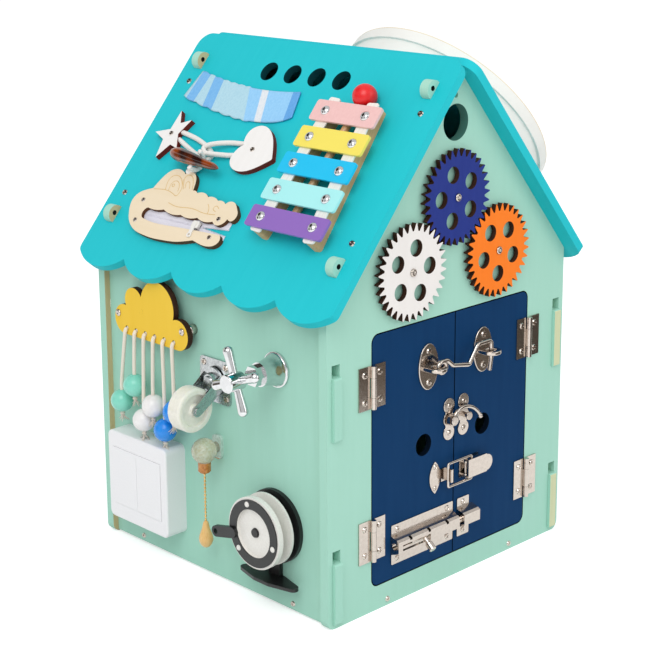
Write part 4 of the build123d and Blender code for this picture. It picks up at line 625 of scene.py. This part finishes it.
# the mallet: a varnished beech stick with a red lacquered ball
mallet = {"ballFrom": 40, "ballTo": 64.5}
madeMallet = surface("malletBeech", *beechColours, (2, 2, 2), (0.25, 0.36), 0.03)
ball = between(madeMallet, down, apexDown + mallet["ballFrom"], apexDown + mallet["ballTo"])
paintOver(madeMallet, ball, *redColours)

# the lamp: a clear polystyrene bulb, with bumps for its cut facets, a foot and a coppery cap
lamp = {"foot": (150, 153.4), "cap": (100, 116.8), "clearness": 0.6}
madeLamp = surface("clearPolystyrene", "#F1EEDC", "#DCD6B8", (2.4, 2.4, 2.4), (0.04, 0.12), 0.7, spread=0.12,
                   detail=1.0, shader={"Transmission Weight": 0.85, "IOR": 1.49})
lampFoot = between(madeLamp, (-1, 0, 0), *lamp["foot"])
paintOver(madeLamp, lampFoot, "#C4DCD2", "#B2CDC1")
lampCap = between(madeLamp, (0, 0, 1), *lamp["cap"])
paintOver(madeLamp, lampCap, "#C98A45", "#A9692A")
tree, ends = madeLamp["tree"], {"To Min": lamp["clearness"], "To Max": 0.0}
opaque = addNode(tree, "Math", {"operation": "MAXIMUM"}, {0: lampCap, 1: lampFoot})
clear = addNode(tree, "MapRange", ends, {"Value": opaque.outputs[0]})
tree.links.new(clear.outputs["Result"], madeLamp["skin"].inputs["Transmission Weight"])

# a bright brass ball chain, with a varnished wooden drop below it
chain = {"metal": (61.5, 120)}
madeChain = surface("brassBallChain", "#EFC98A", "#D9A85C", (1.5, 1.5, 10), (0.22, 0.36), 0.01)
links = between(madeChain, (0, 0, 1), *chain["metal"])
madeChain["tree"].links.new(links, madeChain["skin"].inputs["Metallic"])

# the spool: white nylon with a soft gloss, and the black ring and crank in front
spool = {"ring": (177.05, 200)}
madeSpool = surface("nylonSpool", "#EDEBE6", "#E2DFD9", (1.5, 1.5, 1.5), (0.3, 0.42), 0.006)
paintOver(madeSpool, between(madeSpool, (-1, 0, 0), *spool["ring"]), "#1B1B1C", "#111112")

painted = {"xylophone_bars": madeBars, "xylophone_rails": madeRails, "hand_drum": madeDrum,
           "mallet": madeMallet, "lamp_body": madeLamp, "pull_chain": madeChain, "reel_spool": madeSpool}
finishes.update({name: made["material"] for name, made in painted.items()})
for name, material in finishes.items():
    mesh = nodes[name].data
    if not mesh.materials:
        mesh.materials.append(material)
    for i in range(len(mesh.materials)):
        mesh.materials[i] = material
print("CAD nodes finished:", len(finishes))

# the cloud's beads, cords and knots

beads = {
    "radius": 10.7, "bore": 2.1, "cord": 1.8, "cloudY": 67.1, "holeZ": 216.6, "holePitch": 13.5, "out": 16.2,
    "places": ((109.0, 145.3), (89.3, 164.5), (76.9, 134.0), (62.6, 151.0), (46.1, 132.0), (32.5, 152.4)),
    "colours": ("mint", "mint", "white", "white", "blue", "blue"),
    "knotDrop": 12.96, "knot": (1.1, 0.55), "knotTube": 1.35, "tuftFrom": 0.6, "tuftSeed": 20,
    "strands": 16, "length": 8.0, "lengthShares": (0.7, 1.05), "leans": (0.1, 0.75), "hangShare": 0.8,
    "root": 0.7, "curlShare": 0.6, "thick": 0.55, "taper": 0.35,
}


def holeAcross(i):
    return -(beads["cloudY"] - beads["holePitch"] * (i - 2.5))


def strandRadius(share):
    return (beads["thick"] - beads["taper"] * share) * mm


def tuftMesh(place, seed):
    # a knot with a frayed end below it
    dice = random.Random(seed)
    foot = onPlane("left", *place)
    (loop, rise), start = beads["knot"], beads["tuftFrom"]
    knot = []
    for t in closedTurn(16):
        swing = Vector((loop * math.cos(t), loop * math.sin(t), rise * math.sin(2 * t) + start))
        knot.append(foot + swing * mm)
    meshes = [tube(knot, beads["knotTube"] * mm, 8)]
    curl = beads["curlShare"]
    for k in range(beads["strands"]):
        around, lean = dice.uniform(0, fullTurn), dice.uniform(*beads["leans"])
        length = beads["length"] * dice.uniform(*beads["lengthShares"])
        side = Vector((math.cos(around), math.sin(around), 0))
        points = []
        for s in (0, 0.3, 0.6, 1.0):
            spread = side * (beads["root"] + lean * length * s * (curl + curl * s))
            points.append(foot + (spread + Vector((0, 0, -length * beads["hangShare"] * s - start))) * mm)
        meshes.append(tube(points, strandRadius, 5))
    return joined(meshes)


# a ball with a bore through it
lip = math.asin(beads["bore"] / beads["radius"])
top = math.sqrt(beads["radius"] ** 2 - beads["bore"] ** 2)
angles = [lip + (math.pi - 2 * lip) * k / 20 for k in range(21)]
beadProfile = [(beads["bore"], -top)]
beadProfile += [(beads["radius"] * math.sin(a), -beads["radius"] * math.cos(a)) for a in angles]
beadProfile += [(beads["bore"], top), (beads["bore"], -top)]

for i, (beadY, beadZ) in enumerate(beads["places"]):
    number, body, colour = i + 1, f"bead_string_{i + 1}_body", beads["colours"][i]
    beadU, holeU, holeZ = -beadY, holeAcross(i), beads["holeZ"]
    mesh = lathe(beadProfile, "plain", (0, 0, 0), 40)
    mesh.transform(Matrix.Translation(onPlane("left", beadU, beadZ, beads["out"])))
    bead = finished(f"bead{number}", mesh, body, beadPaints[colour])
    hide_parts(f"bead_string_{number}")
    knotZ = beadZ - beads["knotDrop"]
    route = (
        (holeU, holeZ - 0.2, 14.3), (holeU, holeZ - 1.2, 16.3), (holeU * 0.9 + beadU * 0.1, holeZ - 9, 16.4),
        (holeU * 0.45 + beadU * 0.55, (holeZ + beadZ) / 2 + 6, 16.2), (beadU, beadZ + 17, 16.2),
        (beadU, beadZ + 10, 16.2), (beadU, knotZ, 16.2),
    )
    points, length = routePoints([onPlane("left", *place) for place in route])
    cord = finished(f"beadCord{number}", tube(points, beads["cord"] * mm), body, cotton)
    tuftShape = tuftMesh((beadU, knotZ, beads["out"]), beads["tuftSeed"] + i)
    tuft = finished(f"beadTuft{number}", tuftShape, body, cotton)
print("bead strings made")

# fixed pins: the gears' pivots, the cloud's spacers, and the knots behind the cloud

pins = {
    "gears": ((-3.5, 352.5), (-59.71, 296.29), (52.71, 296.29)),
    "cloudScrews": ((-112.75, 228.9), (-21.45, 228.9)),
    "pivotProfile": ((0, 0), (4.5, 0), (4.5, 1.3), (2.5, 1.3), (2.5, 6.7), (3.6, 6.7), (3.5, 7.6), (2.6, 8.3),
                     (0.9, 8.4), (0.8, 7.6), (0, 7.6)),
    "spacerProfile": ((0, 0), (5, 0), (5, 8), (2, 8), (2, 14), (3.4, 14), (3.2, 14.9), (2.3, 15.5),
                      (0.8, 15.6), (0.7, 14.8), (0, 14.8)),
    "segments": 28,
}
pieces = [lathe(pins["pivotProfile"], "front", (u, v, 0), pins["segments"]) for u, v in pins["gears"]]
pieces += [lathe(pins["spacerProfile"], "left", (u, v, 0), pins["segments"]) for u, v in pins["cloudScrews"]]
steelPins = finished("pivotScrews", joined(pieces), "house", nickel)
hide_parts("fixed_pins")

stub = {"outs": (4.5, 7, 10, 13.6), "radius": 1.7, "knotOut": 4.8, "knot": (1.4, 0.4), "knotTube": 1.5}
stubs = []
for i in range(len(beads["places"])):
    line = [onPlane("left", holeAcross(i), beads["holeZ"], w) for w in stub["outs"]]
    stubs.append(tube(line, stub["radius"] * mm, 12))
    centre = onPlane("left", holeAcross(i), beads["holeZ"], stub["knotOut"])
    loop, rise = stub["knot"]
    knot = []
    for t in closedTurn(16):
        knot.append(centre + Vector((rise * math.sin(2 * t), loop * math.cos(t), loop * math.sin(t))) * mm)
    stubs.append(tube(knot, stub["knotTube"] * mm, 8))
finished("cloudKnots", joined(stubs), "house", cotton)
# the solid's lobes leave a pinhole where they meet: the painted face is whole
patch = {"at": (-79.4, 236.4, 0), "profile": ((0, 12), (2.6, 12), (2.6, 14.03), (0, 14.05))}
patchMesh = lathe(patch["profile"], "left", patch["at"], 20)
finished("cloudFace", patchMesh, "house", finishes["cloud_board"], smooth=False)

# the cord loops of the button and its tie

loops = {
    "radius": 2.35, "gap": 0.05,
    "star": ((-117, -112, 0), (-98, -114.5, 0), (-78, -120, 0), (-63, -126.5, 0), (-59.5, -132, 0),
             (-66, -136, 0), (-86, -130.5, 0), (-100, -125.5, 0), (-115, -120, 0)),
    "heart": ((-23, -113, 0.1), (-36, -113.5, 0.4), (-47, -115.5, 1.9), (-57, -119.5, 4.9),
              (-66, -122.5, 5.1), (-71, -126, 5.1), (-66, -131.2, 5.1), (-57, -131, 4.9),
              (-46, -128.5, 1.9), (-36, -127, 0.4), (-23, -124, 0.1)),
    "tieRadius": 8.66, "tieFrom": 0.42, "tieRun": 1.16, "hornAt": (-64.8, -142.5, 20.6), "hornTurn": -5.9,
    "knotAt": (-74.0, -150.2, 11.3), "knotReach": (3.4, 1.9, 0.9),
}
base = house["roofTop"] + loops["radius"] + loops["gap"]
for side in ("star", "heart"):
    route = [onPlane("leftRoof", u, v, base + lift) for u, v, lift in loops[side]]
    points, length = routePoints(route)
    loop = finished(side + "Loop", tube(points, loops["radius"] * mm), "house", whiteCord)
    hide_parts("button_loops")
# a half ring under the horn button, and a knot beside it
turnHorn = math.radians(loops["hornTurn"])
across, up = Vector((0, 0, 1)), Vector((-math.sin(turnHorn), math.cos(turnHorn), 0))
ring = []
for t in [math.pi * (loops["tieFrom"] + loops["tieRun"] * k / 40) for k in range(41)]:
    spot = Vector(loops["hornAt"]) + (across * math.cos(t) + up * math.sin(t)) * loops["tieRadius"]
    ring.append(onPlane("leftRoof", *spot))
knot = []
for t in closedTurn(28):
    waves = (math.cos(t), math.sin(t), math.sin(2 * t))
    spot = [at + reach * wave for at, reach, wave in zip(loops["knotAt"], loops["knotReach"], waves)]
    knot.append(onPlane("leftRoof", *spot))
tie = joined([tube(ring, loops["radius"] * mm), tube(knot, loops["radius"] * mm)])
finished("hornTie", tie, "house", whiteCord)

# zip tape: two strips that part towards the right, each with a row of teeth

zipper = {
    "left": -107.7, "length": 112, "drop": 200, "mouth": 14.3, "margin": 4, "tape": 0.9, "thickness": 0.8,
    "gap": 0.15, "openFrom": -27, "openRate": 0.09, "steps": 80, "rows": 6,
    "toothShift": 0.73, "toothReach": 0.7, "toothDrop": 0.1, "toothRadius": 0.35,
}
shape = bmesh.new()
halfWidth = zipper["mouth"] / 2 + zipper["margin"]
steps, rows, height = zipper["steps"], zipper["rows"], house["roofTop"] + zipper["tape"]
start, whole = zipper["left"] - zipper["margin"], zipper["length"] + 2 * zipper["margin"]
teeth = []
for side in (-1, 1):
    grid = []
    for i in range(steps + 1):
        run = start + whole * i / steps
        inner = zipper["gap"] + max(0, run - zipper["openFrom"]) * zipper["openRate"]
        offsets = [side * (inner + (halfWidth - inner) * k / rows) for k in range(rows + 1)]
        grid.append([shape.verts.new((run, -zipper["drop"] + offset, height)) for offset in offsets])
        shift = (side > 0) * zipper["toothShift"]
        teeth.append(Vector((run + shift, -zipper["drop"] + side * inner, height)))
    spanned(shape, grid, flipped=side < 0)
shape.transform(planes["leftRoof"])
# woven polyester: matt, with its fine weave drawn at 0.6 mm so that it shows
tapeCloth = finish("wovenPolyesterTape", "#EDEBF5", "#DAD8E4", (0.6, 0.6, 0.6), (0.7, 0.85), 0.08)
tape = finished("zipTapes", meshFrom(shape, "zipTape"), "house", tapeCloth)
thicken(tape, zipper["thickness"] * mm)
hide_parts("zip_tape")
reach, drop, coil = zipper["toothReach"], zipper["toothDrop"], []
for spot in teeth:
    line = [onPlane("leftRoof", *(spot + Vector((0, end, -drop)))) for end in (-reach, 0, reach)]
    coil.append(tube(line, zipper["toothRadius"] * mm, 5))
finished("zipTeeth", joined(coil), "house", tapeCloth)

# lace strap: a bent band with scalloped edges where it is clear

strap = {
    "length": 150, "u": -66, "drop": 66, "out": 2.2, "thickness": 1.2, "steps": 80, "rows": 16,
    "topShares": ((-0.467, 0.144), (0.02, 0.075), (0.47, 0.091)), "clearSteps": 42,
    "bottomShares": ((-0.513, -0.05), (0.156, -0.151), (0.509, -0.085)),
    "scallops": ((0.007, 0.5), (0.009, 0.45)),
}


def arcPoint(a, b, c, t):
    # a quadratic that passes through b half way
    mid = 2 * Vector(b) - (Vector(a) + Vector(c)) / 2
    return Vector(a) * (1 - t) ** 2 + 2 * mid * t * (1 - t) + Vector(c) * t ** 2


shape = bmesh.new()
steps, rows, middle = strap["steps"], strap["rows"], Vector((strap["u"], -strap["drop"]))
grid = []
for i in range(steps + 1):
    high, low = arcPoint(*strap["topShares"], i / steps), arcPoint(*strap["bottomShares"], i / steps)
    if i < strap["clearSteps"]:
        waves = [Vector((0, share * abs(math.sin(i * rate)))) for share, rate in strap["scallops"]]
        high, low = high + waves[0], low - waves[1]
    spots = [low.lerp(high, k / rows) * strap["length"] + middle for k in range(rows + 1)]
    grid.append([shape.verts.new((*spot, house["roofTop"] + strap["out"])) for spot in spots])
spanned(shape, grid)
area = sum(face.calc_area() for face in shape.faces) * mm * mm
shape.transform(planes["leftRoof"])
# light blue satin with a soft shine, white lace, frosted plastic over two folds of the satin, and painted
# shade on those folds and on a fold at the right end
satin = surface("satinRibbon", "#9FD4FA", "#8AC6F2", (9, 2, 2), (0.3, 0.42), 0.15)
bands = {
    "frosted": (-200, -85.5, -0.44, "#BBDFEC", "#A4D0E2"),
    # painted shade on two folds of the satin under the frosted plastic
    "firstFoldShade": (-130.5, -117.5, 0.1, "#84C0F0", "#6CB0E8"),
    "secondFoldShade": (-122.8, -109.0, -0.16, "#84C0F0", "#6CB0E8"),
    "lace": (-62.8, -54.0, -0.34, "#EEF0F2", "#D2DCE6"),
    # painted shade over the fold at the satin's right end
    "end": (-15.1, 40, -0.21, "#6CB0EC", "#5A9EDC"),
}
for left, right, lean, light, dark in bands.values():
    paintOver(satin, stripe(satin, "leftRoof", left, right, lean), light, dark)
strapPiece = finished("laceStrap", meshFrom(shape, "strap"), "house", satin["material"])
thicken(strapPiece, strap["thickness"] * mm)
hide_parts("lace_strap")
print("soft pieces made")

# lines that the laser drew on the crocodile, half sunk into its face

lines = {
    "brow": ((-107.2, -175.2), (-98.7, -174.0), (-89.9, -173.6), (-81.1, -175.2), (-73.0, -178.4),
             (-71.5, -172.6), (-72.5, -166.9), (-76.5, -160.2)),
    "eye": ((-91.8, -174.0), (-95.2, -166.8), (-94.0, -159.7), (-87.3, -156.7), (-78.9, -159.2),
            (-73.5, -166.0)),
    "lid": ((-87.6, -173.4), (-89.4, -167.7), (-86.4, -162.9), (-81.0, -162.8), (-75.8, -167.6),
            (-75.0, -172.8)),
    "pupil": ((-86.6, -167.8), (-85.9, -166.0), (-83.2, -166.6), (-83.2, -169.2), (-86.0, -169.4),
              (-86.6, -167.8)),
    "farEye": ((-69.5, -169.6), (-75.4, -160.6), (-75.2, -156.2), (-70.9, -154.0), (-65.4, -156.0),
               (-60.8, -162.0), (-57.9, -168.3)),
    "farLid": ((-67.9, -168.1), (-71.1, -162.8), (-68.4, -160.6), (-64.5, -162.6), (-62.0, -168.0)),
    "lip": ((-78.6, -185.4), (-69.2, -187.6), (-59.3, -187.3), (-49.0, -185.9), (-40.0, -186.2),
            (-30.6, -187.8), (-21.8, -188.0), (-12.6, -186.9)),
    "nostril": ((-28.4, -178.5), (-22.8, -182.3), (-22.9, -187.4)),
    "farNostril": ((-12.2, -180.8), (-15.9, -177.6), (-19.5, -180.1), (-18.3, -183.5), (-14.4, -183.8)),
}
beam = {"radius": 0.42, "out": 12.8}
drawn = []
for line in lines.values():
    points, length = routePoints([onPlane("leftRoof", u, v, beam["out"]) for u, v in line])
    drawn.append(tube(points, beam["radius"] * mm, 8))
# lightly charred birch: a thin honey-brown line
charred = finish("laserLine", "#DDBE84", "#D0AE72", (1, 1, 1), (0.7, 0.8), 0.02)
finished("crocodileLines", joined(drawn), "house", charred)

# screws and nails: u, v, out and size in mm

smallCross, nailHead = crossHead("crossHead", 1.0, 0.35), roundHead("nailHead", 1.0, 0.6)
screws = {
    "hinges": {"frame": 112.5, "leaf": 94.5, "rows": (67.0, 204.5), "half": 12, "out": 1.2, "size": 3.0},
    # each pair on a door: u, middle, half of its spacing, out and size
    "left_leaf": ((-33.3, 206.5, 14, 1.8, 3.2), (-5.6, 151.7, 12.5, 1.5, 2.7), (-23.5, 101.5, 10, 1.2, 2.6),
                  (-72, 54.5, 13.5, 1.2, 2.8), (-7, 54.5, 13.5, 1.2, 2.8)),
    "right_leaf": ((39.3, 206.5, 14, 1.8, 3.2), (13.8, 151.7, 12.5, 1.5, 2.7), (15, 54.5, 13.5, 1.2, 2.8)),
    "roof": {"us": (-150, 150), "vs": (-56, -183), "size": 3.0},
    "base": {"front": (5.7, 83), "back": (5.7, 83), "left": (7, 103.5), "right": (7, 103.5), "size": 2.6},
    "boards": ((-125.8, -116.6, 13.6, 2.5), (-10.9, -118.3, 13.6, 2.5), (-113.1, -188.1, 13, 2.4),
               (-109.1, -209.1, 13, 2.4), (-5.6, -190.3, 13, 2.4), (-4.7, -209.1, 13, 2.4)),
    "caster": {"u": 8, "v": 188, "half": 14.5, "out": 1.6, "size": 3.4},
    "spool": {"u": 84, "v": 74.5, "circle": 25.8, "angles": (105, -15, -135), "out": 28.2, "size": 2.6},
}


def crossed(plane, us, vs, out, size):
    return [(plane, u, v, out, size) for u in us for v in vs]


def crossScrews(name, body, places):
    placeHeads(name, body, smallCross, nickel, places)


hinge = screws["hinges"]
hingeHeights = [row + step for row in hinge["rows"] for step in (-hinge["half"], hinge["half"])]


def hingeScrews(*us):
    return crossed("front", us, hingeHeights, hinge["out"], hinge["size"])


crossScrews("frameHingeScrews", "house", hingeScrews(-hinge["frame"], hinge["frame"]))
for side, name, body in ((-1, "leftLeafScrews", "left_leaf"), (1, "rightLeafScrews", "right_leaf")):
    places = hingeScrews(side * hinge["leaf"])
    for u, v, half, out, size in screws[body]:
        places += crossed("front", (u,), (v - half, v + half), out, size)
    crossScrews(name, body, places)

roof, places = screws["roof"], []
for plane in ("leftRoof", "rightRoof"):
    places += crossed(plane, roof["us"], roof["vs"], house["roofTop"], roof["size"])
crossScrews("roofScrews", "house", places)

places = []
for plane in ("front", "back", "left", "right"):
    v, reach = screws["base"][plane]
    places += crossed(plane, (-reach, reach), (v,), 0, screws["base"]["size"])
crossScrews("baseScrews", "house", places)
crossScrews("boardScrews", "house", [("leftRoof", *spot) for spot in screws["boards"]])

places = []
for i in range(len(bars["colours"])):
    drop = bars["first"] + bars["pitch"] * i
    narrow, wide = bars["railReach"]
    reach = narrow + (wide - narrow) * (drop - bars["railFrom"]) / bars["railRun"]
    for side in (-1, 1):
        places.append(("leftRoof", bars["middle"] + side * reach, -drop, bars["nailOut"], bars["nailSize"]))
placeHeads("barNails", "house", nailHead, chrome, places)

plate = screws["caster"]
us, vs = [[plate[axis] - plate["half"], plate[axis] + plate["half"]] for axis in ("u", "v")]
crossScrews("casterScrews", "house", crossed("left", us, vs, plate["out"], plate["size"]))

rivet, places = screws["spool"], []
for angle in [math.radians(a) for a in rivet["angles"]]:
    u, v = rivet["u"] + rivet["circle"] * math.cos(angle), rivet["v"] + rivet["circle"] * math.sin(angle)
    places.append(("left", u, v, rivet["out"], rivet["size"]))
placeHeads("spoolRivets", "reel_spool_body", nailHead, whiteNylon, places)
for head in (smallCross, nailHead):
    bpy.data.objects.remove(head)
print("screws placed")

# floor, light and camera


def flatMesh(name, halfWidth, halfHeight):
    mesh = bpy.data.meshes.new(name)
    corners = [(x * halfWidth, y * halfHeight, 0) for x, y in ((-1, -1), (1, -1), (1, 1), (-1, 1))]
    mesh.from_pydata(corners, [], [(0, 1, 2, 3)])
    return mesh


def aimed(place, front, target=(0, 0, 0.2)):
    # the turn that points a front axis from a place to the middle of the house
    return (Vector(target) - Vector(place)).to_track_quat(front, "Y")


# matt white paper, a little brighter to the camera, glass and metals
matt = {"Base Color": (0.82, 0.82, 0.82, 1), "Roughness": 0.9, "Specular IOR Level": 0.0}
paper = {"halfSize": 30, "glow": 0.45, "skin": {**matt, "Emission Color": (1, 1, 1, 1)}}
floorMesh = flatMesh("studioFloor", paper["halfSize"], paper["halfSize"])
newObject("studioFloor", floorMesh)
whitePaper, tree, skin = newMaterial("whitePaper")
adjust(skin, paper["skin"])
ray = addNode(tree, "LightPath").outputs
seen = ray["Is Camera Ray"]
for kind in ("Is Transmission Ray", "Is Glossy Ray"):
    seen = addNode(tree, "Math", {"operation": "MAXIMUM"}, {0: seen, 1: ray[kind]}).outputs[0]
glow = addNode(tree, "Math", {"operation": "MULTIPLY", 1: paper["glow"]}, {0: seen})
tree.links.new(glow.outputs[0], skin.inputs["Emission Strength"])
floorMesh.materials.append(whitePaper)

# matt grey cards that only the metals mirror: place, width, height and greys
flags = {
    "frontRight": ((0.95, -1.15, 0.42), 0.8, 0.84, "#8C8177", "#1D1814"),
    "backLeft": ((-1.2, 1.15, 0.42), 0.8, 0.84, "#8C8177", "#1D1814"),
    "frontStrip": ((-0.15, -1.7, 0.8), 0.3, 1.6, "#3A3531", "#0E0C0B"),
    "sideStrip": ((-1.75, -0.1, 0.8), 0.3, 1.6, "#3A3531", "#0E0C0B"),
    "overhead": ((-0.55, 1.15, 1.55), 1.5, 1.0, "#4A443F", "#050404"),
    "nearHinges": ((0.27, -0.4, 0.135), 0.56, 0.2, "#857970", "#2A2420"),
}
for name, (place, width, height, *greys) in flags.items():
    cardMesh = flatMesh(name + "Card", width / 2, height / 2)
    grey = finish(name + "Grey", *greys, (260, 260, 260), (0.8, 0.9), 0, spread=0.12, detail=1.0)
    cardMesh.materials.append(grey)
    card = newObject(name + "Card", cardMesh)
    card.matrix_world = Matrix.Translation(place) @ aimed(place, "Z").to_matrix().to_4x4()
    card.visible_camera = card.visible_diffuse = card.visible_shadow = card.visible_transmission = False

# softboxes: place, size in metres and power in watts
lights = {"key": ((-1.5, -0.9, 1.9), 1.4, 22), "fill": ((0.7, -2.0, 1.2), 1.6, 9)}
for name, (place, size, power) in lights.items():
    data = bpy.data.lights.new(name, "AREA")
    data.shape = "SQUARE"
    data.size = size
    data.energy = power
    softbox = newObject(name, data)
    softbox.location = place
    softbox.rotation_euler = aimed(place, "-Z").to_euler()

world = bpy.data.worlds.new("studio")
bpy.context.scene.world = world
world.use_nodes = True
adjust(world.node_tree.nodes["Background"], {"Color": (1, 1, 1, 1), "Strength": 0.75})

# the photograph's camera: place in metres, axes, focal length and centre in pixels of its frame
view = {
    "at": (-1.03581, -1.04905, 0.63529),
    "axes": ((0.71793, -0.69608, -0.00713), (0.16088, 0.15595, 0.97457), (-0.67727, -0.70082, 0.22394)),
    "focal": 1620.2, "centre": (313.6, 231.6), "frame": 656, "sensor": 36,
}
cameraData = bpy.data.cameras.new("camera")
cameraData.sensor_width = view["sensor"]
cameraData.lens = view["sensor"] * view["focal"] / view["frame"]
cameraData.shift_x = 0.5 - view["centre"][0] / view["frame"]
cameraData.shift_y = view["centre"][1] / view["frame"] - 0.5
camera = newObject("camera", cameraData)
camera.matrix_world = Matrix.Translation(view["at"]) @ Matrix(view["axes"]).transposed().to_4x4()
bpy.context.scene.camera = camera
bpy.context.scene.view_settings.view_transform = "Standard"
print("camera and light set")
